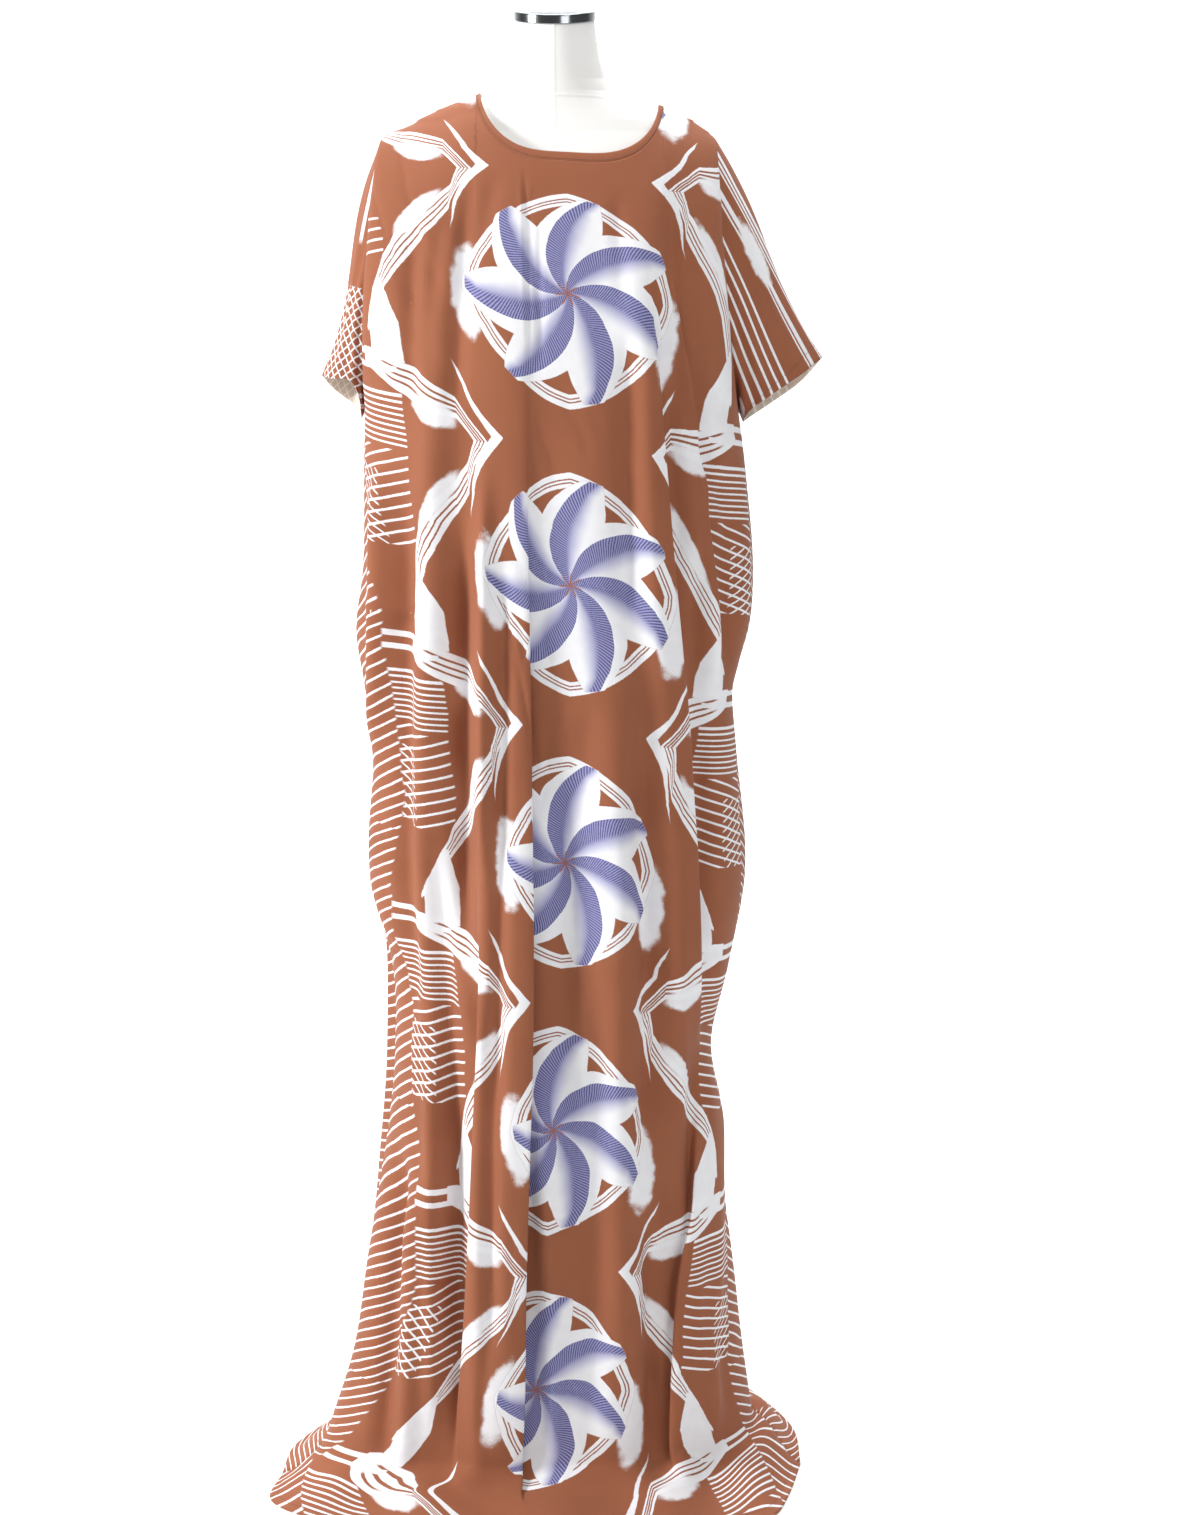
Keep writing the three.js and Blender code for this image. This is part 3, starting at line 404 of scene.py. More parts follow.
def column_shares(centres, halves, pleats, spacing, fine):
    """The shares of a row's columns: close together in each pleat, wider between them."""
    shares = [-1.0]

    def spread(to, count):
        shares.extend(np.linspace(shares[-1], to, count + 1)[1:])

    narrowest = 0.012
    for index, (_, columns, _path) in enumerate(pleats):
        spread(max(centres[index] - halves[index], shares[-1] + narrowest), spacing[index] * fine)
        spread(max(centres[index] + halves[index], shares[-1] + narrowest), columns * fine)
    spread(1.0, spacing[-1] * fine)
    return np.array(shares)


def top_shares(shares):
    """A row's shares moved so that the top edge's columns follow the neck's curve and fan out from it."""
    half_hole = NECK_HALF + NECK_EDGE
    sides = [float(share_of(NECK_X + side * half_hole, WALL_TOP)) for side in (-1, 1)]
    fans = [float(share_of(NECK_X + side * (half_hole + NECK_FAN), WALL_TOP)) for side in (-1, 1)]
    first, last = (int(np.argmin(np.abs(shares - fan))) for fan in fans)
    tops = np.empty_like(shares)
    tops[:first + 1] = mix(-1, sides[0], (shares[:first + 1] + 1) / (shares[first] + 1))
    tops[last:] = mix(sides[1], 1, (shares[last:] - shares[last]) / (1 - shares[last]))
    turn = np.cos(np.pi * (np.arange(first + 1, last) - first) / (last - first))
    level = np.full(turn.shape, float(WALL_TOP))
    tops[first + 1:last] = share_of(NECK_X - half_hole * rounded(turn), level)
    return tops


def wave_height(waves, x, z):
    """Soft troughs and ridges that fade in at the top and out at the foot."""
    total = np.zeros(np.shape(x))
    for start_x, end_x, from_z, to_z, half_width, height in waves:
        along = (from_z - z) / (from_z - to_z)
        fade = smooth(along * 4) * smooth((1.15 - along) * 4)
        offset = (x - mix(start_x, end_x, np.clip(along, 0, 1))) / half_width
        total += height * fade * np.exp(-offset ** 2)
    return total


def crease_height(creases, x, z):
    """Fine creases: each fades at both ends and has a soft lip beside its trough."""
    total = np.zeros(np.shape(x))
    for start_x, start_z, end_x, end_z, half_width, height in creases:
        run = np.array([end_x - start_x, end_z - start_z], float)
        reach = np.hypot(*run)
        along = ((x - start_x) * run[0] + (z - start_z) * run[1]) / reach ** 2
        beside = ((x - start_x) * run[1] - (z - start_z) * run[0]) / reach / half_width
        fade = smooth(along * 3 + 0.5) * smooth((1 - along) * 3 + 0.5)
        total += height * fade * (np.exp(-beside ** 2) - 0.35 * np.exp(-(beside - 1.6) ** 2))
    return total


def panel_normals(face, share, down):
    """Outward directions of a panel before its folds."""
    step = 0.02
    right, left = np.minimum(share + step, 1), np.maximum(share - step, -1)
    lower, upper = np.minimum(down + step, 3), np.maximum(down - step, 0)
    across = base_point(face, right, down) - base_point(face, left, down)
    along = base_point(face, share, lower) - base_point(face, share, upper)
    return unit(np.cross(across, along)) * face


@lru_cache(maxsize=None)
def panel_grid(face):
    """A panel's middle surface with its folds, and each point's place on the cloth, in millimetres."""
    fine = FINENESS[face]
    counts = [count // 1 for count in ROW_COUNTS[face]]
    downs = [index + np.arange(1, count + 1) / count for index, count in enumerate(counts)]
    downs = np.concatenate([[0]] + downs)
    pleats, z = PLEATS[face], height_of(downs)
    centre = np.stack([share_of(follow(path, "z", "x", z), z) for _, _, path in pleats], axis=1)
    step = 0.01
    stretch = length(base_point(face, np.minimum(centre + step, 1), downs[:, None])
                     - base_point(face, np.maximum(centre - step, -1), downs[:, None])) / (2 * step)
    half = np.array([pleat[0] for pleat in pleats]) / stretch
    turned = np.stack([np.maximum(follow(path, "z", "turn", z), 0) for _, _, path in pleats], axis=1)
    turned *= smooth((2.95 - downs) * 1.25)[:, None]
    part = np.stack([follow(path, "z", "part", z) for _, _, path in pleats], axis=1)

    shares = []
    for row, down in enumerate(downs):
        own = column_shares(centre[row], half[row], pleats, SPACING[face], fine)
        shares.append(mix(top_shares(own), own, 1 - (1 - min(down, 1)) ** 2))
    share = np.array(shares)
    down = np.broadcast_to(downs[:, None], share.shape)

    shifted, lift = share.copy(), np.zeros(share.shape)
    for index in range(len(pleats)):
        place = (share - centre[:, index:index + 1]) / half[:, index:index + 1]
        shift = turned[:, index:index + 1] * np.sin(np.pi * place) / stretch[:, index:index + 1]
        shifted -= np.where(np.abs(place) < 1, shift, 0)
        lift -= part[:, index:index + 1] * place * np.exp((1 - place ** 2) / 2)
    shifted = np.clip(shifted, -1, 1)
    place = base_point(face, shifted, down)
    normal = panel_normals(face, shifted, down)
    fade = smooth((1 - np.abs(share)) * 14) * smooth(down * 1.5)
    waves = wave_height(WAVES[face], place[..., 0], height_of(down)) * WAVE_DEPTH
    lift += waves * smooth((2.15 - down) * 2.2 + 0.2)
    lift *= smooth((2.9 - down) * 1.6)
    lift += crease_height(CREASES[face], place[..., 0], place[..., 2]) * smooth((2.6 - down) * 3)
    lift += soft_ripple(place, down) + small_wrinkles(place, down)
    place = place + normal * (lift * fade)[..., None]
    place[..., 2] = np.maximum(place[..., 2], FLOOR_LIFT + HALF_CLOTH)
    place = np.where((place[..., 2] > FORM_BOTTOM_Z)[..., None], clear_of_form(place), place)
    return place, cloth_place(face, share, down, place), down


def small_wrinkles(place, down):
    """Short tension wrinkles, scattered unevenly over the body."""
    x, z = place[..., 0], place[..., 2]
    lean = np.sin(x / 61 + z / 143)
    first = np.abs(np.sin((x * 0.9 + z * (0.30 + 0.08 * lean)) / 23 + 1.7 * np.sin(z / 97)))
    second = np.abs(np.sin((x * 0.8 - z * 0.42) / 31 + 1.3 * np.sin(z / 71 + x / 87)))
    where = smooth(np.sin(x / 43 + 2.1) * np.sin(z / 117 + x / 150) * 1.8 - 0.35)
    other = smooth(np.sin(x / 37 - 0.9) * np.sin(z / 89 - x / 120 + 2) * 1.8 - 0.5)
    return (-2.4 * (1 - first) ** 5 * where - 2.1 * (1 - second) ** 5 * other) * smooth((2.2 - down) * 2)


def soft_ripple(place, down):
    """Slight unevenness of hanging cloth: long upright ripples, stronger on the floor."""
    x, y, z = place[..., 0], place[..., 1], place[..., 2]
    upright = 0.9 * np.sin(x / 13.7 + 1.3 * np.sin(z / 171 + 0.4)) * np.sin(z / 263 + x / 90 + 1.1)
    slack = 0.7 * np.sin(x / 31 + z / 47 + y / 29) * np.sin(z / 83 - x / 57)
    floor = 1.6 * np.sin(x / 21 + y / 17) * np.sin(y / 33 - x / 41) * smooth(down - 2.2)
    return (upright + slack) * smooth((2.4 - down) * 2) + floor * smooth((3 - down) * 6)


def cloth_place(face, share, down, place):
    """Where each point lies on the cloth: across from the motifs' line, and down from the top motif."""
    steps = length(np.diff(place, axis=1))
    across = np.concatenate([np.zeros((len(place), 1)), np.cumsum(steps, axis=1)], axis=1)
    z = height_of(down[:, 0])
    chest = smooth(1 - down[:, 0])
    if face == FRONT:
        middle = share_of(follow(MOTIF_LINE, "z", "x", z), z)
    else:
        middle = share_of(mix(10.0, 14.0, chest), z)
    for row in range(len(across)):
        across[row] -= np.interp(middle[row], share[row], across[row])
    # Over the neck hole the row's own length is cut short, so there the level x is used
    near_neck = smooth((1.15 - down) * 3)
    across = mix(across, place[..., 0] - 14, near_neck)

    wall_z = mix(WALL_TOP, WALL_FOOT, np.clip(down - 1, 0, 1))
    samples = np.linspace(0, 1, 17)
    grid = np.linspace(-1, 1, 81)
    profile = chest_point(face, grid[:, None], samples[None, :])
    run = np.cumsum(length(np.diff(profile, axis=1)), axis=1)
    run = np.concatenate([np.zeros((81, 1)), run], axis=1)
    top = np.interp(share, np.linspace(-1, 1, 401), edge_downs(face))
    so_far = mix(top, 1, np.clip(down, 0, 1))
    ran = grid_read(run, (share + 1) * 40, so_far * 16)
    whole = grid_read(run, (share + 1) * 40, np.full(share.shape, 16.0))
    floor = np.clip(down - 2, 0, 1) * length(base_point(face, share, 3) - base_point(face, share, 2))
    below = (WALL_TOP - wall_z) + floor
    if face == FRONT:
        lean = np.interp(-height_of(down), -MOTIF_LINE["z"], MOTIF_LINE["lean"])
        droop = 26 * smooth((across - 120) / 80) * smooth((height_of(down) - 700) / 400)
        t = MOTIF_TOP_Z - WALL_TOP + below - (whole - ran) - lean * across - droop
        t *= 1 + (0.09 + 0.08 * smooth(-t / 150)) * (t < 0)
        taken = np.interp(-z, -TAKEN_UP["z"], TAKEN_UP["cloth"])[:, None]
        across -= taken * smooth((-across - 15) / 60)
    else:
        fold = MOTIF_TOP_Z - WALL_TOP - mix(175.0, 255.0, smooth(1.2 - np.abs(share) * 1.4))
        fold = mix(fold, -300.0, smooth(down * 0.8))
        t = fold - ran - below
    return np.stack([across, t], axis=-1)


def grid_read(grid, row, column):
    """A value between the cells of a grid."""
    top = np.clip(row.astype(int), 0, grid.shape[0] - 2)
    left = np.clip(column.astype(int), 0, grid.shape[1] - 2)
    down, over = np.clip(row - top, 0, 1), np.clip(column - left, 0, 1)
    upper = mix(grid[top, left], grid[top, left + 1], over)
    lower = mix(grid[top + 1, left], grid[top + 1, left + 1], over)
    return mix(upper, lower, down)


def grid_normals(grid, wrap, side):
    """The cloth's inward normals at the points of a grid."""
    if wrap:
        across = np.roll(grid, -1, axis=1) - np.roll(grid, 1, axis=1)
    else:
        across = np.gradient(grid, axis=1)
    return unit(np.cross(across, np.gradient(grid, axis=0))) * side


def cloth_mesh(name, grid, cloth, thickness, side, wrap=False, normals=None):
    """A thin closed wall of cloth: its two faces lie half a thickness to each side of the grid."""
    rows, columns = grid.shape[:2]
    inward = grid_normals(grid, wrap, side) if normals is None else normals
    outer, inner = grid - inward * thickness / 2, grid + inward * thickness / 2
    count = rows * columns
    ids = np.arange(count).reshape(rows, columns)
    if wrap:
        ids = np.concatenate([ids, ids[:, :1]], axis=1)
    a, b, c, d = ids[:-1, :-1], ids[1:, :-1], ids[1:, 1:], ids[:-1, 1:]
    quads = np.stack([a, b, c, d], axis=-1).reshape(-1, 4)
    faces = [quads, quads[:, ::-1] + count]
    loops = [ids[0], ids[-1][::-1]] + ([] if wrap else [ids[::-1, 0], ids[:, -1]])
    for loop in loops:
        faces.append(np.stack([loop[:-1], loop[1:], loop[1:] + count, loop[:-1] + count], axis=-1))
    faces = np.concatenate(faces)
    if side > 0:
        faces = faces[:, ::-1]
    mesh = bpy.data.meshes.new(name)
    corners = np.concatenate([outer.reshape(-1, 3), inner.reshape(-1, 3)]) * MM
    mesh.from_pydata(corners.tolist(), [], faces.tolist())
    place = mesh.attributes.new("cloth", "FLOAT_VECTOR", "POINT")
    flat = np.concatenate([cloth.reshape(-1, 2)] * 2) * MM
    inside = np.repeat([0.0, 1.0], count)
    place.data.foreach_set("vector", np.column_stack([flat, inside]).ravel().astype(np.float32))
    return finished(name, mesh)


def finished(name, mesh):
    """The mesh as a smooth-shaded object that rides on the part's body."""
    mesh.validate()
    mesh.polygons.foreach_set("use_smooth", [True] * len(mesh.polygons))
    mesh.update()
    piece = bpy.data.objects.new(name, mesh)
    bpy.context.collection.objects.link(piece)
    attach(piece, "root")
    return piece


def sleeve_grid(name):
    """A sleeve: a flattened tube from the armhole to the hem, open at both ends."""
    side, hems = SLEEVES[name]
    columns, rows = ((176, 84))
    half = columns // 2
    order = np.arange(columns)
    share = np.where(order < half, order / half, (columns - order) / half)
    below = (share - CHEST_SHARE) / (1 - CHEST_SHARE)
    underarm = (WALL_TOP - UNDERARM_Z) / (WALL_TOP - WALL_FOOT)
    down = np.where(below < 0, share / CHEST_SHARE, 1 + below * underarm)
    is_front = (order < half)[:, None]
    start = np.where(is_front, base_point(FRONT, side * np.ones(columns), down),
                     base_point(BACK, side * np.ones(columns), down))
    ends = [points(*(follow(hems[face], "share", axis, share) for axis in "xyz")) for face in (FRONT, BACK)]
    end = np.where(is_front, *ends)
    out = np.linspace(0, 1, rows)[:, None]
    grid = start[None] + (end - start)[None] * out[..., None]
    bulge = np.sin(2 * np.pi * out) * SHOULDER_BULGE * (1 - share)
    grid += points(side * bulge, 0, bulge * 0.3)
    normal = grid_normals(grid, True, -side)
    pulls = 2.6 * np.sin(share * 9 + 2.2 * out + side) * np.sin(np.pi * out)
    pulls = pulls + 1.1 * np.sin(share * 23 - 4 * out)
    fade = smooth(out * 5) * smooth((1 - out) * 8) * smooth((1 - share) * 5)
    grid += normal * (pulls * fade)[..., None]

    # The print is laid on the sleeve pressed flat: along the shoulder fold, and square to it
    fold = unit(grid[-1, 0] - grid[0, 0])
    offset = grid - grid[0, 0]
    out = offset[..., 0] * fold[0] + offset[..., 2] * fold[2]
    below = (offset[..., 0] * fold[2] - offset[..., 2] * fold[0]) * side
    below = np.maximum(below, 0) + 0.25 * np.abs(grid[..., 1] - grid[:, :1, 1])
    return grid, np.stack([side * (SLEEVE_FROM + out), np.where(order < half, below, -below)], axis=-1)


def lofted_mesh(name, rings, sides, groove=None):
    """Rings of one oval section each, closed at the bottom and the top."""
    angle = np.arange(sides) / sides * 2 * np.pi
    grid = []
    for z, half, front, back, power, tilt in rings:
        curve = 2 / power
        depth = np.where(np.sin(angle) < 0, -front, back)
        y = np.sign(np.sin(angle)) * np.abs(np.sin(angle)) ** curve * depth
        x = np.sign(np.cos(angle)) * np.abs(np.cos(angle)) ** curve * half
        grid.append(points(x, y, z + tilt * y))
    grid = np.array(grid)
    if groove is not None:
        grid += grid_normals(grid, True, -1) * groove(grid)[..., None]
    rows = len(grid)
    ids = np.arange(rows * sides).reshape(rows, sides)
    ids = np.concatenate([ids, ids[:, :1]], axis=1)
    quads = np.stack([ids[:-1, :-1], ids[:-1, 1:], ids[1:, 1:], ids[1:, :-1]], axis=-1).reshape(-1, 4)
    faces = quads.tolist() + [ids[0, :-1][::-1].tolist(), ids[-1, :-1].tolist()]
    mesh = bpy.data.meshes.new(name)
    mesh.from_pydata((grid.reshape(-1, 3) * MM).tolist(), [], faces)
    return finished(name, mesh)


def fine_rings(count):
    """The form's rings, with more between them."""
    given = FORM_RINGS["z"]
    z = np.interp(np.linspace(0, 1, count), np.linspace(0, 1, len(given)), given)
    return np.column_stack([np.interp(z, given, column) for column in FORM_RINGS.values()])


# Materials

class Value:
    """A socket of a material: the operators on it add Math nodes."""

    def __init__(self, finish, socket):
        self.finish, self.socket = finish, socket

    def __add__(self, other):
        return self.finish.math("ADD", self, other)

    def __sub__(self, other):
        return self.finish.math("SUBTRACT", self, other)

    def __rsub__(self, other):
        return self.finish.math("SUBTRACT", other, self)

    def __mul__(self, other):
        return self.finish.math("MULTIPLY", self, other)

    def __truediv__(self, other):
        return self.finish.math("DIVIDE", self, other)

    def __pow__(self, other):
        return self.finish.math("POWER", self, other)

    def __neg__(self):
        return self.finish.math("MULTIPLY", self, -1.0)

    def __abs__(self):
        return self.finish.math("ABSOLUTE", self)

    __radd__, __rmul__ = __add__, __mul__


class Finish:
    """One material and the nodes that are added to it."""

    def __init__(self, name, **shader):
        self.material = bpy.data.materials.new(name)
        self.material.use_nodes = True
        self.tree = self.material.node_tree
        self.shader = self.tree.nodes["Principled BSDF"]
        for socket, value in shader.items():
            self.shader.inputs[socket.replace("_", " ")].default_value = value

    def node(self, kind, settings=None, inputs=(), output=0):
        """A node of a type: its settings are set first, then the values or links of its sockets."""
        made = self.tree.nodes.new(kind)
        for key, value in (settings or {}).items():
            setattr(made, key, value)
        for key, value in (inputs.items() if isinstance(inputs, dict) else enumerate(inputs)):
            if isinstance(value, Value):
                self.tree.links.new(value.socket, made.inputs[key])
            else:
                made.inputs[key].default_value = value
        return Value(self, made.outputs[output])

    def math(self, operation, *values, clamp=False):
        return self.node("ShaderNodeMath", {"operation": operation, "use_clamp": clamp}, values)

    def inside(self, distance, soft=0.5):
        """1 where a distance in millimetres is above 0, with a soft edge."""
        return self.math("MULTIPLY_ADD", distance, 1 / soft, 0.5, clamp=True)

    def stripe(self, value, half, soft=0.5):
        return self.inside(half - abs(value), soft)

    def greatest(self, *masks):
        total = masks[0]
        for mask in masks[1:]:
            total = self.math("MAXIMUM", total, mask)
        return total

    def step(self, value, low, high):
        return self.node("ShaderNodeMapRange", {"interpolation_type": "SMOOTHSTEP"}, [value, low, high])

    def wrap(self, value, high, low):
        return self.math("WRAP", value, high, low)

    def curve(self, value, places, heights):
        """A line through points, read at a value."""
        low, high = places[0], places[-1]
        floor, ceiling = min(heights), max(heights)
        made = self.tree.nodes.new("ShaderNodeFloatCurve")
        points_now = made.mapping.curves[0].points
        while len(points_now) < len(places):
            points_now.new(0.5, 0.5)
        for point, place, height in zip(points_now, places, heights):
            point.location = ((place - low) / (high - low), (height - floor) / (ceiling - floor))
            point.handle_type = "VECTOR"
        made.mapping.update()
        position = self.node("ShaderNodeMapRange", {}, [value, low, high])
        self.tree.links.new(position.socket, made.inputs["Value"])
        made.inputs["Factor"].default_value = 1.0
        return Value(self, made.outputs[0]) * (ceiling - floor) + floor

    def blend(self, share, first, second):
        """One colour mixed into another."""
        made = self.tree.nodes.new("ShaderNodeMix")
        made.data_type = "RGBA"
        for socket, value in ((made.inputs[0], share), (made.inputs[6], first), (made.inputs[7], second)):
            if isinstance(value, Value):
                self.tree.links.new(value.socket, socket)
            else:
                socket.default_value = value
        return Value(self, made.outputs[2])

    def noise(self, place, scale, detail=2.0, output=0):
        sockets = {"Vector": place, "Scale": scale, "Detail": detail}
        return self.node("ShaderNodeTexNoise", {}, sockets, output)

    def feed(self, socket, value):
        self.tree.links.new(value.socket, self.shader.inputs[socket])

    def relief(self, height, strength, distance):
        sockets = {"Strength": strength, "Distance": distance, "Height": height}
        bump = self.node("ShaderNodeBump", {}, sockets)
        self.feed("Normal", bump)


def colour(red, green, blue):
    """A colour as it looks on a screen, from 0 to 255, in Blender's linear values."""
    linear = [((value / 255 + 0.055) / 1.055) ** 2.4 for value in (red, green, blue)]
    return (*linear, 1.0)


# The brush stroke beside the motifs: down from its tip, across from the motifs, half its width
STROKE = (
    (-76, 138, 0), (-60, 131, 2.4), (-48, 125, 2.6), (-35, 120, 3.2), (-23, 113.5, 4), (-11, 103.5, 5.2),
    (0, 94.5, 7), (12, 103, 6), (25, 111, 4.8), (36, 116, 3.4), (56, 121.5, 2.2), (72, 125, 1.4),
    (92, 129, 0),
)
# The two arms of the banded zigzag: across from the motifs, down from the tip, half its depth
UPPER_ARM = (
    (105, 16.5, 9.5), (125, -7.5, 9.5), (137, -24, 11), (155, -29.5, 14.5), (175, -37, 18),
    (193, -43, 18), (212, -50, 17), (236, -60, 13), (250, -64, 9),
)
LOWER_ARM = (
    (105, -80, 16), (120, -51, 16), (124, -37, 16), (128, -22, 16), (143, -1, 17), (166, 23, 19),
    (189, 52, 20), (205, 76, 18), (216, 100, 15), (228, 125, 10), (236, 140, 2),
)
LOWER_FROM, MEETING, TIP_DROP = 70, 7, 5
BAND_LINES = (-0.5, -0.06, 0.38)
# The stripes outward of the zigzag: how far above its tips, half their width
SIDE_STRIPES = ((68, 3.2), (54, 3.0), (27, 1.8), (20, 1.3))
# The petals: how many, where the first starts in degrees, how far each swirls, and how wide it and the
# white beside it are
PETALS, PETAL_START, PETAL_SWIRL, PETAL_WIDTH, PETAL_MARGIN = 7, 75.5, 1.22, 1.745, 0.72
# The motif's frame: its reach, how square it is, and half the width of its band
FRAME_REACH, FRAME_POWER, FRAME_BAND = 127.5, 1.7, 7.6

# The stage in metres: how far its floor reaches, where its wall stands and ends, and the bend between
STAGE_REACH, WALL_Y, STAGE_TOP, BEND = 9.0, 4.0, 8.0, 1.6
# The lamps: where each stands and aims, its size, and its share of the light
LAMPS = (
    ("side_left", (-2.9, -1.0, 1.9), (0, 0, 0.85), 0.8, 1.6),
    ("neck_fill", (1.1, -1.3, 2.3), (0.05, 0, 1.6), 0.5, 0.07),
    ("side_right", (1.9, -2.9, 1.5), (0, 0, 0.8), 1.4, 0.3),
    ("overhead", (0, -0.6, 4.2), (0, 0, 0), 3.0, 1.05),
    ("wall", (0, 1.6, 4.6), (0, 4.0, 1.2), 2.6, 3.2),
)


def motif(finish, s, t, look):
    """The pinwheel in its frame: the share of white, of petal blue, and of ground inside its hatching."""
    radius = finish.math("SQRT", s * s + t * t)
    angle = finish.math("ARCTAN2", -t, s)
    reach = 1 - radius / look.motif_radius
    open_reach = finish.math("MAXIMUM", 1 - radius / (look.motif_radius * 1.07), 0.0)
    sector = 2 * math.pi / PETALS
    turn = finish.wrap(math.radians(PETAL_START) + open_reach * PETAL_SWIRL - angle, sector, 0.0)
    width = open_reach ** 0.95 * PETAL_WIDTH
    margin = open_reach * PETAL_MARGIN
    petal = finish.inside((width - turn) * radius, 0.7)
    under = finish.inside((turn - (sector - margin)) * radius, 0.7)
    within = finish.inside(reach * look.motif_radius, 0.7)
    flower = finish.greatest(petal, under) * within
    share = turn / finish.math("MAXIMUM", width, 0.02)
    share = share * finish.math("MINIMUM", open_reach * 3.3 + 0.4, 1.0)
    blue = (1 - finish.step(share, 0.34, 0.78)) * petal * within
    hatch = finish.math("SINE", (radius + turn * radius * 0.8) * (2 * math.pi / look.hatch_pitch))
    hatch = finish.step(hatch, -0.4, 0.5) * (1 - finish.step(share, 0.33, 0.5))
    spoke = finish.stripe((finish.wrap(turn + sector / 2, sector, 0.0) - sector / 2) * radius, 0.9, 0.8)
    star = spoke * finish.inside(13.0 - radius, 3.0)
    return flower, blue, hatch, star


def motif_frame(finish, s, t):
    """The frame, pointed at its four ends: three white lines with thin ground lines between them."""
    edge = ((abs(s) + 10) ** FRAME_POWER + (abs(t) + 8) ** FRAME_POWER) ** (1 / FRAME_POWER) - FRAME_REACH
    band = finish.inside(FRAME_BAND - abs(edge + FRAME_BAND))
    lines = finish.greatest(finish.stripe(edge + 6.9, 0.8), finish.stripe(edge + 10.5, 0.75))
    beside = t - 23.5 - finish.math("SIGN", s) * 16.5
    cloud = ((abs(s) - 110) / 19.0) ** 2 + (beside / 50.0) ** 2
    return band * (1 - lines), cloud, finish.inside(edge, 1.0)


def arm(finish, across, down, rows, side, meeting):
    """One arm of the banded zigzag, up to where the two meet, with thin lines of ground along it."""
    places, centres, halves = zip(*rows)
    half = finish.curve(across, places, halves)
    beside = (down - finish.curve(across, places, centres)) * side
    body = finish.inside(half - abs(beside), 0.7) * finish.inside((meeting - down) * side)
    body = body * finish.stripe(across - (places[0] + places[-1]) / 2, (places[-1] - places[0]) / 2)
    lines = finish.greatest(*(finish.stripe(beside - half * share, 1.35) for share in BAND_LINES))
    cloud = ((beside - half) / 15.0) ** 2 + ((across - 164) / 28.0) ** 2
    return body * (1 - lines * (1 - finish.inside(across - 222.0, 8.0))), cloud


def side_bands(finish, s, down):
    """Outward of the zigzag: a solid block, a pair of stripes, thin lines, slanting ones and a lattice."""
    across = abs(s)
    block_half = finish.math("MINIMUM", (down + 146) * 0.4 + 3, 20.0)
    block = finish.inside(block_half - abs(across - 213), 1.0) * finish.stripe(down + 104, 42.0, 1.0)
    pair = finish.greatest(*(finish.stripe(down + above, half) for above, half in SIDE_STRIPES))
    fine = finish.stripe(finish.wrap(down, 3.2, -3.2), 1.05) * finish.stripe(down - 6, 22.4)
    slant = finish.stripe(finish.wrap(down - across * 0.3, 6.2, -6.2), 1.35)
    slant = slant * finish.stripe(down - 84, 52.0)
    cross = finish.stripe(finish.wrap(down + across * 0.7, 5.6, -5.6), 1.1) * finish.stripe(down - 96, 40.0)
    near = finish.inside(across - 205.0, 2.0)
    far = finish.inside(across - 250.0, 2.0)
    within = 1 - finish.inside(across - 292.0, 3.0)
    outer = finish.stripe(finish.wrap(down - across * 0.55, 6.6, -6.6), 1.4) * (1 - within)
    nearer = finish.greatest(pair, fine, slant) * near * within
    return finish.greatest(block, nearer, cross * far * within, outer)


def sleeve_bands(finish, s, around):
    """Lined bands, a soft patch and spreading lines on the right sleeve; a lattice at the left hem."""
    out = abs(s) - SLEEVE_FROM
    below = abs(around)
    first = below - 20 + out * 0.09
    second = below - 40 + out * 0.08
    gaps = finish.greatest(*(finish.stripe(first + place, 1.1) for place in (-3.4, 1.6)))
    upper = finish.stripe(first, 6.5) * (1 - gaps)
    lower = finish.stripe(second, 4.5) * (1 - finish.stripe(second - 1.5, 1.0))
    soft = (finish.noise(finish.cloth, 90.0) - 0.5) * 1.2
    patch = finish.step(((out - 128) / 40) ** 2 + ((below - 27) / 11) ** 2 + soft, 1.2, 0.5)
    spread = (below - 46) / (0.95 + out / 1100)
    lines = finish.stripe(finish.wrap(spread, 4.3, -4.3), 1.2) * finish.inside(spread - 4, 1.0)
    crossing = (finish.wrap(below + out * lean, 4.8, -4.8) for lean in (0.8, -0.8))
    net = finish.greatest(*(finish.stripe(line, 0.95) for line in crossing))
    edge = finish.stripe(below - 14 - out * 0.05, 2.4) * finish.inside(112 - out, 8.0)
    right = finish.inside(s)
    left = finish.greatest(net * finish.inside(out - 160, 2.0) * finish.inside(below - 4, 1.0), edge)
    return finish.greatest(upper, lower, patch, lines) * right + left * (1 - right)


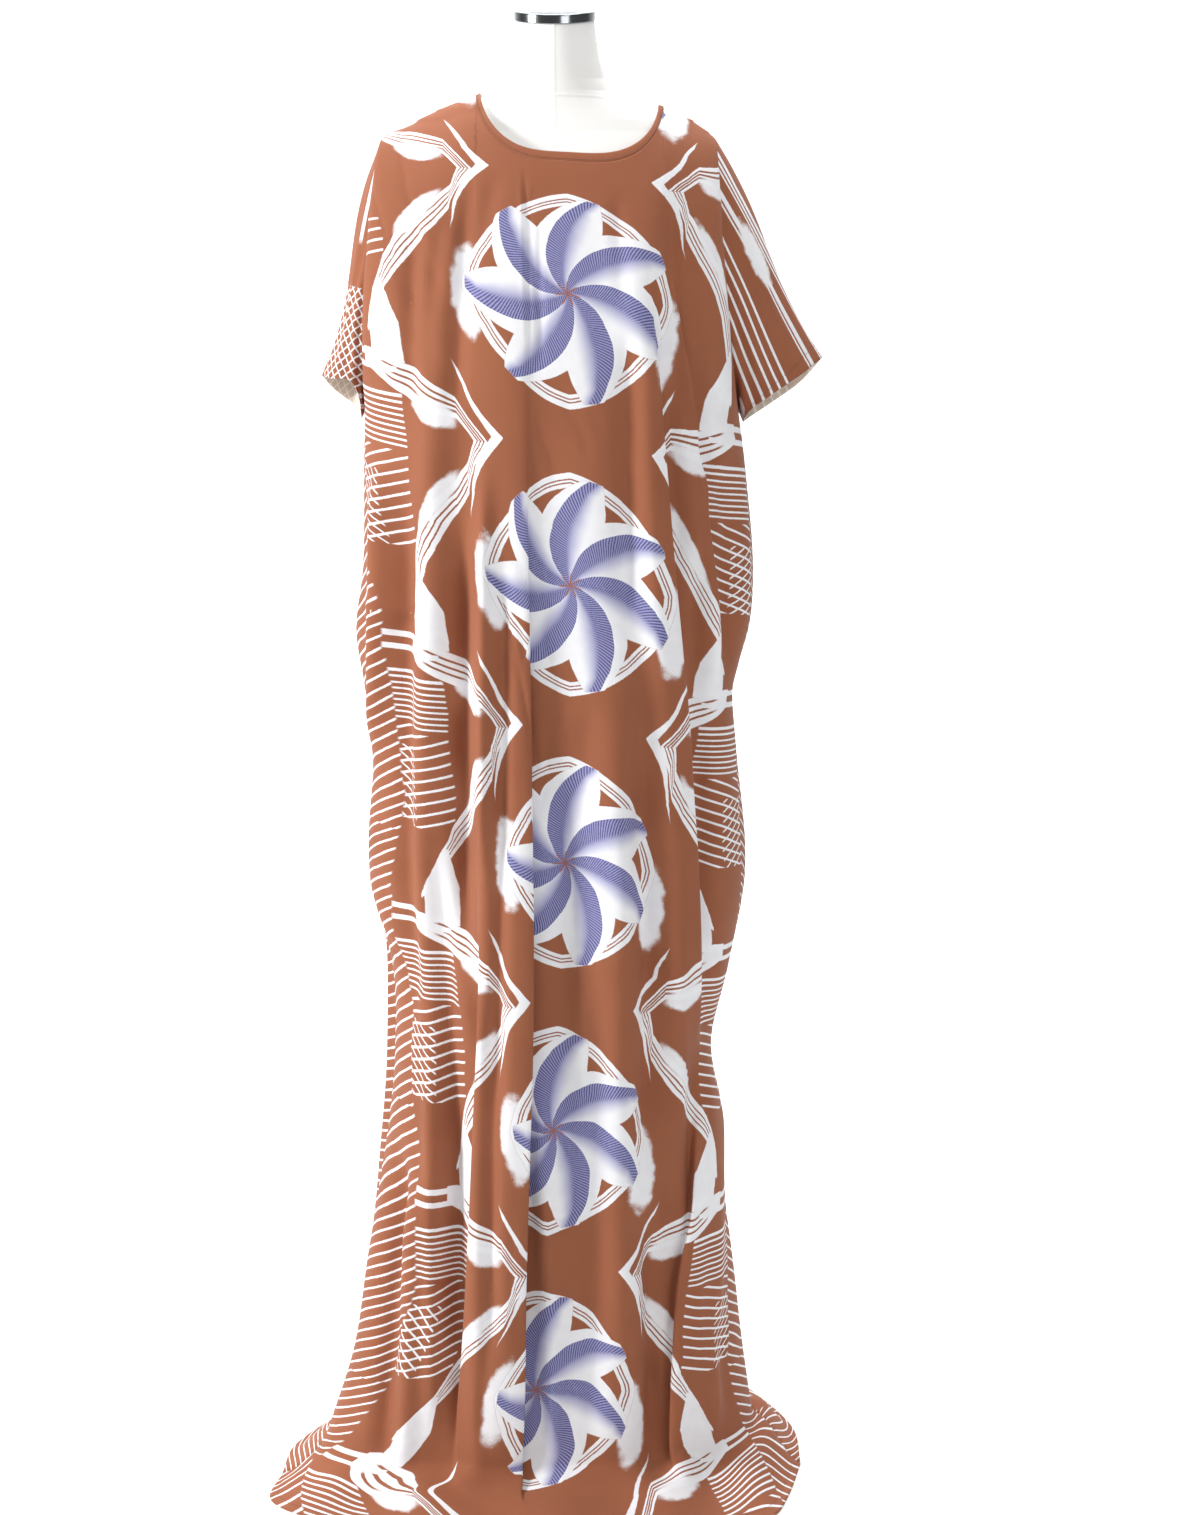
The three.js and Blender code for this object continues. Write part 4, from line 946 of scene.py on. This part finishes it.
def printed_cloth(name, look):
    """Printed viscose: the print, its weave, and a paler wrong side."""
    finish = Finish(name, Roughness=0.78, Sheen_Weight=0.06, Sheen_Roughness=0.5, Specular_IOR_Level=0.2)
    place = finish.cloth = finish.node("ShaderNodeAttribute", {"attribute_name": "cloth"}, output="Vector")
    wobble = finish.noise(place, 26.0, 3.0)
    rough = finish.noise(place, 900.0, 1.0)
    parts = finish.tree.nodes.new("ShaderNodeSeparateXYZ")
    finish.tree.links.new(place.socket, parts.inputs[0])
    s, t, inside = (Value(finish, socket) for socket in parts.outputs)
    s = s * 1000.0 + (wobble - 0.5) * 7.0 + (rough - 0.5) * 1.0
    t = t * 1000.0 + (rough - 0.5) * 1.0
    pitch = float(look.motif_pitch) / MM
    motif_t = finish.wrap(t, pitch / 2, -pitch / 2)
    tip_t = finish.wrap(t + pitch / 2 - TIP_DROP, pitch / 2, -pitch / 2)
    low_t = finish.wrap(t + pitch / 2 - TIP_DROP - LOWER_FROM, pitch / 2, -pitch / 2)
    across = abs(s)

    flower, blue, hatch, star = motif(finish, s, motif_t, look)
    band, cloud, outside = motif_frame(finish, s, motif_t)
    places, centres, halves = zip(*STROKE)
    reach = finish.curve(tip_t, places, halves)
    stroke = finish.inside(reach - abs(across - finish.curve(tip_t, places, centres)) - 0.45, 0.8)
    upper, upper_cloud = arm(finish, across, tip_t, UPPER_ARM, 1, MEETING)
    lower, lower_cloud = arm(finish, across, low_t, LOWER_ARM, -1, MEETING - LOWER_FROM)
    outward = side_bands(finish, s, tip_t) * (1 - finish.stripe(t + 175.0, 115.0, 4.0))
    bands = finish.greatest(upper, lower, outward, stroke)
    grain = finish.noise(place, 1500.0, 2.0)
    ragged = (grain - 0.5) * 1.0 + (finish.noise(place, 70.0) - 0.5) * 0.9
    spray = finish.greatest(
        finish.step(cloud + ragged, 1.15, 0.7) * outside, finish.step(upper_cloud + ragged, 1.15, 0.6),
        finish.step(lower_cloud + ragged, 1.15, 0.6),
    )
    body = finish.inside(SLEEVE_FROM - 100.0 - across)
    white = finish.greatest(band, bands, spray * 0.95) * body
    white = finish.greatest(white, sleeve_bands(finish, s, t) * (1 - body))
    white = finish.greatest(white * (1 - flower), flower) * (1 - star * 0.85)

    tone = finish.noise(place, 9.0, 4.0)
    ground = finish.blend(tone, tuple(look.ground_dark), tuple(look.ground_light))
    petal = finish.blend(hatch, tuple(look.petal_blue), tuple(look.petal_hatch))
    paper = finish.blend(finish.noise(place, 60.0), tuple(look.white), colour(230, 229, 233))
    painted = finish.blend(blue, paper, petal)
    print_colour = finish.blend(white, ground, painted)
    wrong_side = finish.blend(0.72, print_colour, tuple(look.wrong_side))
    finish.feed("Base Color", finish.blend(inside, print_colour, wrong_side))
    thread = 2 * math.pi / 0.55
    warp = finish.math("SINE", s * thread)
    weft = finish.math("SINE", t * thread)
    weave = warp * weft + finish.noise(place, 220.0, 3.0) * 3.0
    finish.relief(weave, 0.18, 0.0003)
    return finish.material


def plain_cloth(name, look):
    """Smooth white jersey stretched over the form."""
    finish = Finish(name, Roughness=0.72, Sheen_Weight=0.25, Sheen_Roughness=0.4, Specular_IOR_Level=0.3)
    place = finish.node("ShaderNodeTexCoord", output="Object")
    cloudy = finish.noise(place, 18.0, 3.0)
    finish.feed("Base Color", finish.blend(cloudy, tuple(look.cloth), colour(238, 236, 233)))
    knit = finish.node("ShaderNodeTexWave", {"wave_type": "BANDS", "bands_direction": "DIAGONAL"},
                       {"Vector": place, "Scale": 260.0, "Distortion": 3.0, "Detail": 1.0})
    finish.relief(knit + finish.noise(place, 500.0), 0.12, 0.0003)
    return finish.material


def polished_metal(name, look):
    """Bright metal with faint wiping marks."""
    finish = Finish(name, Metallic=1.0)
    place = finish.node("ShaderNodeTexCoord", output="Object")
    stretched = finish.node("ShaderNodeMapping", {}, {"Vector": place, "Scale": (1.0, 1.0, 14.0)})
    marks = finish.noise(stretched, 90.0, 4.0)
    finish.feed("Base Color", finish.blend(marks, tuple(look.metal), colour(140, 143, 146)))
    finish.feed("Roughness", marks * 0.14 + 0.1)
    return finish.material


def painted_metal(name, look):
    """Satin powder coat with a fine orange-peel surface."""
    finish = Finish(name, Metallic=0.0, Coat_Weight=0.2, Coat_Roughness=0.3)
    place = finish.node("ShaderNodeTexCoord", output="Object")
    peel = finish.noise(place, 420.0, 2.0)
    cloudy = finish.noise(place, 14.0, 4.0)
    finish.feed("Base Color", finish.blend(cloudy, tuple(look.stand), colour(204, 205, 207)))
    finish.feed("Roughness", peel * 0.15 + 0.38)
    finish.relief(peel, 0.2, 0.0004)
    return finish.material


def thread_finish(name, look):
    """Dark sewing thread, twisted: its ply ridges are painted a lighter brown and its grooves the darker
    thread colour, as painted highlight and painted shade, beside a bump of the same pattern.
    """
    finish = Finish(name, Roughness=0.6, Sheen_Weight=0.3)
    place = finish.node("ShaderNodeTexCoord", output="Object")
    twist_and_painted_shade = finish.node("ShaderNodeTexWave", {"bands_direction": "DIAGONAL"},
                        {"Vector": place, "Scale": 900.0})
    # Painted highlight and painted shade: the ply ridges take a lighter brown, the grooves the thread's own
    # dark colour
    finish.feed("Base Color", finish.blend(twist_and_painted_shade, tuple(look.thread), colour(120, 70, 50)))
    finish.relief(twist_and_painted_shade, 0.3, 0.0002)
    return finish.material


def pale_floor(name):
    finish = Finish(name, Roughness=0.55)
    place = finish.node("ShaderNodeTexCoord", output="Object")
    cloudy = finish.noise(place, 3.0)
    finish.feed("Base Color", finish.blend(cloudy, colour(253, 254, 254), colour(250, 252, 252)))
    return finish.material


@lru_cache(maxsize=None)
def material(kind):
    """Each material is made once."""
    scene = bpy.context.scene
    makers = {
        "printed_cloth": lambda: printed_cloth("printed_cloth", scene.bati_print),
        "form_cloth": lambda: plain_cloth("form_cloth", scene.bati_form),
        "chrome": lambda: polished_metal("chrome", scene.bati_form),
        "stand": lambda: painted_metal("stand", scene.bati_form),
        "thread": lambda: thread_finish("thread", scene.bati_dress),
        "floor": lambda: pale_floor("floor"),
    }
    return makers[kind]()


# Stitches

def stitch_tree():
    """Geometry Nodes that lay stitches end to end along a curve."""
    tree = bpy.data.node_groups.new("stitches", "GeometryNodeTree")
    face = tree.interface
    face.new_socket("Path", in_out="INPUT", socket_type="NodeSocketGeometry")
    face.new_socket("Pitch", in_out="INPUT", socket_type="NodeSocketFloat").default_value = 0.003
    face.new_socket("Stitch", in_out="INPUT", socket_type="NodeSocketFloat").default_value = 0.0022
    face.new_socket("Thread", in_out="INPUT", socket_type="NodeSocketFloat").default_value = 0.0003
    face.new_socket("Finish", in_out="INPUT", socket_type="NodeSocketMaterial")
    face.new_socket("Stitches", in_out="OUTPUT", socket_type="NodeSocketGeometry")

    def node(kind, settings=None, **inputs):
        made = tree.nodes.new(kind)
        for key, value in (settings or {}).items():
            setattr(made, key, value)
        for key, value in inputs.items():
            socket = made.inputs[key.replace("_", " ")]
            if isinstance(value, bpy.types.NodeSocket):
                tree.links.new(value, socket)
            else:
                socket.default_value = value
        return made

    given = tree.nodes.new("NodeGroupInput").outputs
    path = node("GeometryNodeResampleCurve", {"mode": "LENGTH"}, Curve=given["Path"], Length=given["Pitch"])
    bead = node("GeometryNodeMeshUVSphere", Segments=6, Rings=4, Radius=0.5)
    tangent = node("GeometryNodeInputTangent")
    turn = node("FunctionNodeAlignRotationToVector", {"axis": "X"}, Vector=tangent.outputs[0])
    scale = node("ShaderNodeCombineXYZ", X=given["Stitch"], Y=given["Thread"], Z=given["Thread"])
    laid = node("GeometryNodeInstanceOnPoints", Points=path.outputs[0], Instance=bead.outputs["Mesh"],
                Rotation=turn.outputs[0], Scale=scale.outputs[0])
    solid = node("GeometryNodeRealizeInstances", Geometry=laid.outputs[0])
    smooth_node = node("GeometryNodeSetShadeSmooth", Geometry=solid.outputs[0])
    finish = node("GeometryNodeSetMaterial", Geometry=smooth_node.outputs[0], Material=given["Finish"])
    tree.links.new(finish.outputs[0], tree.nodes.new("NodeGroupOutput").inputs[0])
    return tree


def stitched_line(name, path, closed, look):
    """A row of stitches along a path in millimetres, as a plain mesh."""
    curve = bpy.data.curves.new(name + "_path", "CURVE")
    curve.dimensions = "3D"
    spline = curve.splines.new("POLY")
    spline.points.add(len(path) - 1)
    spline.points.foreach_set("co", np.column_stack([path * MM, np.ones(len(path))]).ravel())
    spline.use_cyclic_u = closed
    holder = bpy.data.objects.new(name + "_path", curve)
    bpy.context.collection.objects.link(holder)
    tree = bpy.data.node_groups.get("stitches") or stitch_tree()
    nodes = holder.modifiers.new("stitches", "NODES")
    nodes.node_group = tree
    inputs = {item.name: item.identifier for item in tree.interface.items_tree}
    nodes[inputs["Pitch"]] = look.stitch_pitch
    nodes[inputs["Stitch"]] = look.stitch_length
    nodes[inputs["Thread"]] = look.thread_width
    nodes[inputs["Finish"]] = material("thread")
    shape = bpy.data.meshes.new_from_object(holder.evaluated_get(bpy.context.evaluated_depsgraph_get()))
    bpy.data.objects.remove(holder)
    return finished(name, shape)


# Settings

class BatiDressSettings(bpy.types.PropertyGroup):
    thickness: bpy.props.FloatProperty(
        name="Cloth thickness", description="Thickness of the dress cloth", default=0.001, unit="LENGTH")
    stitch_pitch: bpy.props.FloatProperty(
        name="Stitch pitch", description="Distance between stitches", default=0.0032, unit="LENGTH")
    stitch_length: bpy.props.FloatProperty(
        name="Stitch length", description="Length of one stitch", default=0.0025, unit="LENGTH")
    thread_width: bpy.props.FloatProperty(
        name="Thread width", description="Thickness of the sewing thread", default=0.0006, unit="LENGTH")
    thread: bpy.props.FloatVectorProperty(
        name="Thread", description="Colour of the sewing thread", subtype="COLOR", size=4,
        default=colour(62, 34, 24))


class BatiPrintSettings(bpy.types.PropertyGroup):
    motif_pitch: bpy.props.FloatProperty(
        name="Motif pitch", description="Distance from one motif to the next down the cloth",
        default=MOTIF_PITCH * MM, unit="LENGTH")
    motif_radius: bpy.props.FloatProperty(
        name="Motif radius", description="Reach of the petals, in millimetres", default=113.0)
    hatch_pitch: bpy.props.FloatProperty(
        name="Hatch pitch", description="Distance between the petals' fine lines, in millimetres",
        default=2.7)
    ground_light: bpy.props.FloatVectorProperty(
        name="Ground", description="Lighter brown of the ground", subtype="COLOR", size=4,
        default=colour(160, 98, 69))
    ground_dark: bpy.props.FloatVectorProperty(
        name="Ground, darker", description="Darker brown of the ground", subtype="COLOR", size=4,
        default=colour(143, 84, 58))
    white: bpy.props.FloatVectorProperty(
        name="White", description="White of the lines and petals", subtype="COLOR", size=4,
        default=colour(243, 243, 245))
    petal_blue: bpy.props.FloatVectorProperty(
        name="Petal blue", description="Blue of the petals", subtype="COLOR", size=4,
        default=colour(152, 151, 192))
    petal_hatch: bpy.props.FloatVectorProperty(
        name="Petal hatching", description="Blue of the petals' fine lines", subtype="COLOR", size=4,
        default=colour(84, 84, 132))
    wrong_side: bpy.props.FloatVectorProperty(
        name="Wrong side", description="Tint of the cloth's wrong side", subtype="COLOR", size=4,
        default=colour(238, 228, 214))


class BatiFormSettings(bpy.types.PropertyGroup):
    cloth: bpy.props.FloatVectorProperty(
        name="Form cloth", description="White of the form's cover", subtype="COLOR", size=4,
        default=colour(246, 245, 243))
    metal: bpy.props.FloatVectorProperty(
        name="Cap metal", description="Colour of the neck cap", subtype="COLOR", size=4,
        default=colour(160, 163, 165))
    stand: bpy.props.FloatVectorProperty(
        name="Stand paint", description="Colour of the pole and base", subtype="COLOR", size=4,
        default=colour(222, 222, 224))


class BatiStageSettings(bpy.types.PropertyGroup):
    camera_place: bpy.props.FloatVectorProperty(
        name="Camera place", description="Where the camera stands", subtype="TRANSLATION",
        default=(0.048, -2.70, 1.35))
    camera_pitch: bpy.props.FloatProperty(
        name="Camera pitch", description="How far the camera looks down", subtype="ANGLE",
        default=math.radians(11.0))
    lens: bpy.props.FloatProperty(
        name="Lens", description="Focal length for a sensor 36 mm high", default=58.22)
    daylight: bpy.props.FloatProperty(
        name="Daylight", description="Strength of the light from all round", default=0.26)
    exposure: bpy.props.FloatProperty(
        name="Exposure", description="Exposure of the picture, in stops", default=-0.95)
    light: bpy.props.FloatProperty(
        name="Light", description="Strength of the large front light", default=130.0, unit="POWER")


# Operators

class BATI_OT_panels(bpy.types.Operator):
    """Make the front and back of the dress"""
    bl_idname = "bati.panels"
    bl_label = "Front and Back"

    def execute(self, context):
        thickness = context.scene.bati_dress.thickness / MM
        for name, face in (("dress_front", FRONT), ("dress_back", BACK)):
            grid, cloth, _down = panel_grid(face)
            normals = grid_normals(grid, False, -face)
            # On the shoulder fold both panels lean the same way, so the cloth runs over it
            edge = np.abs(grid[0, :, 1]) < 0.5
            normals[0, edge, 1] = 0
            normals[0] = unit(normals[0])
            piece = cloth_mesh(name, grid, cloth, thickness, -face, normals=normals)
            piece.data.materials.append(material("printed_cloth"))
            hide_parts("front" if face == FRONT else "back")
        return {"FINISHED"}


class BATI_OT_sleeves(bpy.types.Operator):
    """Make the two short grown-on sleeves"""
    bl_idname = "bati.sleeves"
    bl_label = "Sleeves"

    def execute(self, context):
        thickness = context.scene.bati_dress.thickness / MM
        for name, (side, _) in SLEEVES.items():
            grid, cloth = sleeve_grid(name)
            piece = cloth_mesh("dress_" + name, grid, cloth, thickness, -side, wrap=True)
            piece.data.materials.append(material("printed_cloth"))
            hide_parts(name)
        return {"FINISHED"}


class BATI_OT_neck_edge(bpy.types.Operator):
    """Make the narrow hemmed neck edge"""
    bl_idname = "bati.neck_edge"
    bl_label = "Neck Edge"

    def execute(self, context):
        count = 288
        angle = np.arange(count) / count * 2 * np.pi
        insets = np.array([0, 0.6, 1.6, 3.0, 4.2, 5.0])
        grid = np.array([neck_point(angle, inset) for inset in insets])
        inward = grid_normals(grid, True, -1)
        puff = np.array([0.0, 0.25, 0.35, 0.3, 0.12, 0.0])
        grid -= inward * puff[:, None, None]
        across = grid[..., 0] - 14
        cloth = np.stack([across, np.full(across.shape, -170.0) + insets[:, None]], axis=-1)
        thickness = context.scene.bati_dress.thickness / MM
        piece = cloth_mesh("dress_neck_edge", grid, cloth, thickness, -1, wrap=True)
        piece.data.materials.append(material("printed_cloth"))
        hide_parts("neck_binding")
        return {"FINISHED"}


class BATI_OT_stitching(bpy.types.Operator):
    """Sew the hems of the neck, sleeves and skirt"""
    bl_idname = "bati.stitching"
    bl_label = "Stitching"

    def execute(self, context):
        look = context.scene.bati_dress
        proud = look.thickness / MM / 2 + 0.1
        angle = np.linspace(0, 2 * np.pi, 240, endpoint=False)
        neck = neck_point(angle, 4.0)
        inner = neck_point(angle, 5.0) - neck_point(angle, 3.0)
        ahead = np.roll(neck, -1, axis=0) - np.roll(neck, 1, axis=0)
        raised = neck + unit(np.cross(ahead, inner)) * (proud + HALF_CLOTH)
        stitched = {"neck_stitches": (raised, True, "neck_edge")}
        for name, (side, _) in SLEEVES.items():
            grid, _cloth = sleeve_grid(name)
            row = -6
            normal = grid_normals(grid, True, -side)[row]
            stitched[name + "_stitches"] = (grid[row] - normal * proud, True, "printed_cloth")
        for name, face in (("front_hem_stitches", FRONT), ("back_hem_stitches", BACK)):
            grid = panel_grid(face)[0]
            row = -4
            normal = grid_normals(grid, False, -face)[row]
            stitched[name] = ((grid[row] - normal * proud)[2:-2], False, "printed_cloth")
        for name, (path, closed, slot) in stitched.items():
            stitched_line(name, path, closed, look)
        return {"FINISHED"}


class BATI_OT_form(bpy.types.Operator):
    """Make the dress form and its neck cap"""
    bl_idname = "bati.form"
    bl_label = "Dress Form"

    def execute(self, context):
        def seams(grid):
            x, y, z = grid[..., 0], grid[..., 1], grid[..., 2]
            centre = np.exp(-(x / 1.1) ** 2) * (z < 1618)
            dip = 1551 - 9 * np.clip(-y / 48, 0, 1) - (x / 60) ** 2 * 6
            base = np.exp(-((z - dip) / 1.3) ** 2) * (z > 1500)
            return -0.5 * np.maximum(centre, base)

        count, sides = ((320, 256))
        body = lofted_mesh("form_body", fine_rings(count), sides, seams)
        body.data.materials.append(material("form_cloth"))
        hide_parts("form_torso")
        neck = {name: FORM_RINGS[name][-1] for name in ("z", "half", "front", "back", "power")}

        def layer(lift, grow):
            return (neck["z"] + CAP_SEAT + lift, neck["half"] + grow, neck["front"] - grow,
                    neck["back"] + grow, neck["power"], CAP_TILT)

        corner, crown = np.linspace(0, np.pi / 2, 7), np.linspace(0.15, np.pi / 2, 8)
        foot, brim = 0.8, 0.9
        rings = [layer(foot * (1 - math.cos(a)), CAP_OVERHANG - foot * (1 - math.sin(a))) for a in corner]
        rings += [layer(CAP_HEIGHT * share, CAP_OVERHANG) for share in (0.3, 0.5, 0.7)]
        rings += [layer(CAP_HEIGHT - brim * (1 - math.sin(a)), CAP_OVERHANG - brim * (1 - math.cos(a)))
                  for a in corner]
        rings += [layer(CAP_HEIGHT + CAP_CROWN * math.sin(a), -2 - 24 * (1 - math.cos(a))) for a in crown]
        cap = lofted_mesh("form_neck_cap", rings, 160)
        cap.data.materials.append(material("chrome"))
        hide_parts("neck_cap")
        return {"FINISHED"}


class BATI_OT_stand(bpy.types.Operator):
    """Finish the pole and the base"""
    bl_idname = "bati.stand"
    bl_label = "Stand"

    def execute(self, context):
        for name in ("pole", "base"):
            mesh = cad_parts[name].data
            mesh.materials.clear()
            mesh.materials.append(material("stand"))
        return {"FINISHED"}


class BATI_OT_stage(bpy.types.Operator):
    """Set up the floor, the lights and the camera"""
    bl_idname = "bati.stage"
    bl_label = "Stage"

    def execute(self, context):
        scene, look = context.scene, context.scene.bati_stage
        data = bpy.data.cameras.new("camera")
        camera = bpy.data.objects.new("camera", data)
        scene.collection.objects.link(camera)
        camera.location = look.camera_place
        camera.rotation_euler = (math.pi / 2 - look.camera_pitch, 0, 0)
        data.sensor_fit = "VERTICAL"
        data.sensor_height = 36.0
        data.lens = look.lens
        data.clip_end = 100.0
        scene.camera = camera

        # The floor runs into a wall behind the dress through a wide curve
        turn = np.linspace(0, math.pi / 2, 25)
        bend = [(WALL_Y - BEND * (1 - math.sin(a)), BEND * (1 - math.cos(a))) for a in turn]
        profile = [(-STAGE_REACH, 0.0)] + bend + [(WALL_Y, STAGE_TOP)]
        corners = [(x, y, z) for y, z in profile for x in (-STAGE_REACH, STAGE_REACH)]
        faces = [(2 * row, 2 * row + 1, 2 * row + 3, 2 * row + 2) for row in range(len(profile) - 1)]
        mesh = bpy.data.meshes.new("floor")
        mesh.from_pydata(corners, [], faces)
        mesh.polygons.foreach_set("use_smooth", [True] * len(faces))
        floor = bpy.data.objects.new("floor", mesh)
        scene.collection.objects.link(floor)
        mesh.materials.append(material("floor"))

        world = bpy.data.worlds.new("studio")
        scene.world = world
        world.use_nodes = True
        background = world.node_tree.nodes["Background"]
        background.inputs["Color"].default_value = (1.0, 1.0, 1.0, 1.0)
        background.inputs["Strength"].default_value = look.daylight
        scene.view_settings.view_transform = "Standard"
        scene.view_settings.exposure = look.exposure

        def panel_light(name, place, aim, size, power):
            lamp = bpy.data.lights.new(name, "AREA")
            lamp.shape, lamp.size, lamp.energy = "SQUARE", size, power
            holder = bpy.data.objects.new(name, lamp)
            scene.collection.objects.link(holder)
            turn = (Vector(place) - Vector(aim)).to_track_quat("Z", "Y").to_matrix().to_4x4()
            holder.matrix_world = Matrix.Translation(place) @ turn

        for name, place, aim, size, share in LAMPS:
            panel_light(name, place, aim, size, look.light * share)
        return {"FINISHED"}


OPERATORS = (
    BATI_OT_stage, BATI_OT_form, BATI_OT_stand, BATI_OT_panels, BATI_OT_sleeves, BATI_OT_neck_edge,
    BATI_OT_stitching,
)
SETTINGS = {
    "bati_dress": BatiDressSettings, "bati_print": BatiPrintSettings, "bati_form": BatiFormSettings,
    "bati_stage": BatiStageSettings,
}


class BATI_PT_panel(bpy.types.Panel):
    bl_idname = "BATI_PT_panel"
    bl_label = "Bati Dress"
    bl_space_type = "VIEW_3D"
    bl_region_type = "UI"
    bl_category = "Bati Dress"

    def draw(self, context):
        for name, settings in SETTINGS.items():
            box = self.layout.box()
            for key in settings.__annotations__:
                box.prop(getattr(context.scene, name), key)
        for operator in OPERATORS:
            self.layout.operator(operator.bl_idname)


def register():
    for kind in (*SETTINGS.values(), *OPERATORS, BATI_PT_panel):
        bpy.utils.register_class(kind)
    for name, kind in SETTINGS.items():
        setattr(bpy.types.Scene, name, bpy.props.PointerProperty(type=kind))


def unregister():
    for name in SETTINGS:
        delattr(bpy.types.Scene, name)
    for kind in reversed((*SETTINGS.values(), *OPERATORS, BATI_PT_panel)):
        bpy.utils.unregister_class(kind)


def main():
    register()
    for operator in OPERATORS:
        group, name = operator.bl_idname.split(".")
        getattr(getattr(bpy.ops, group), name)()


if __name__ == "__main__":
    main()
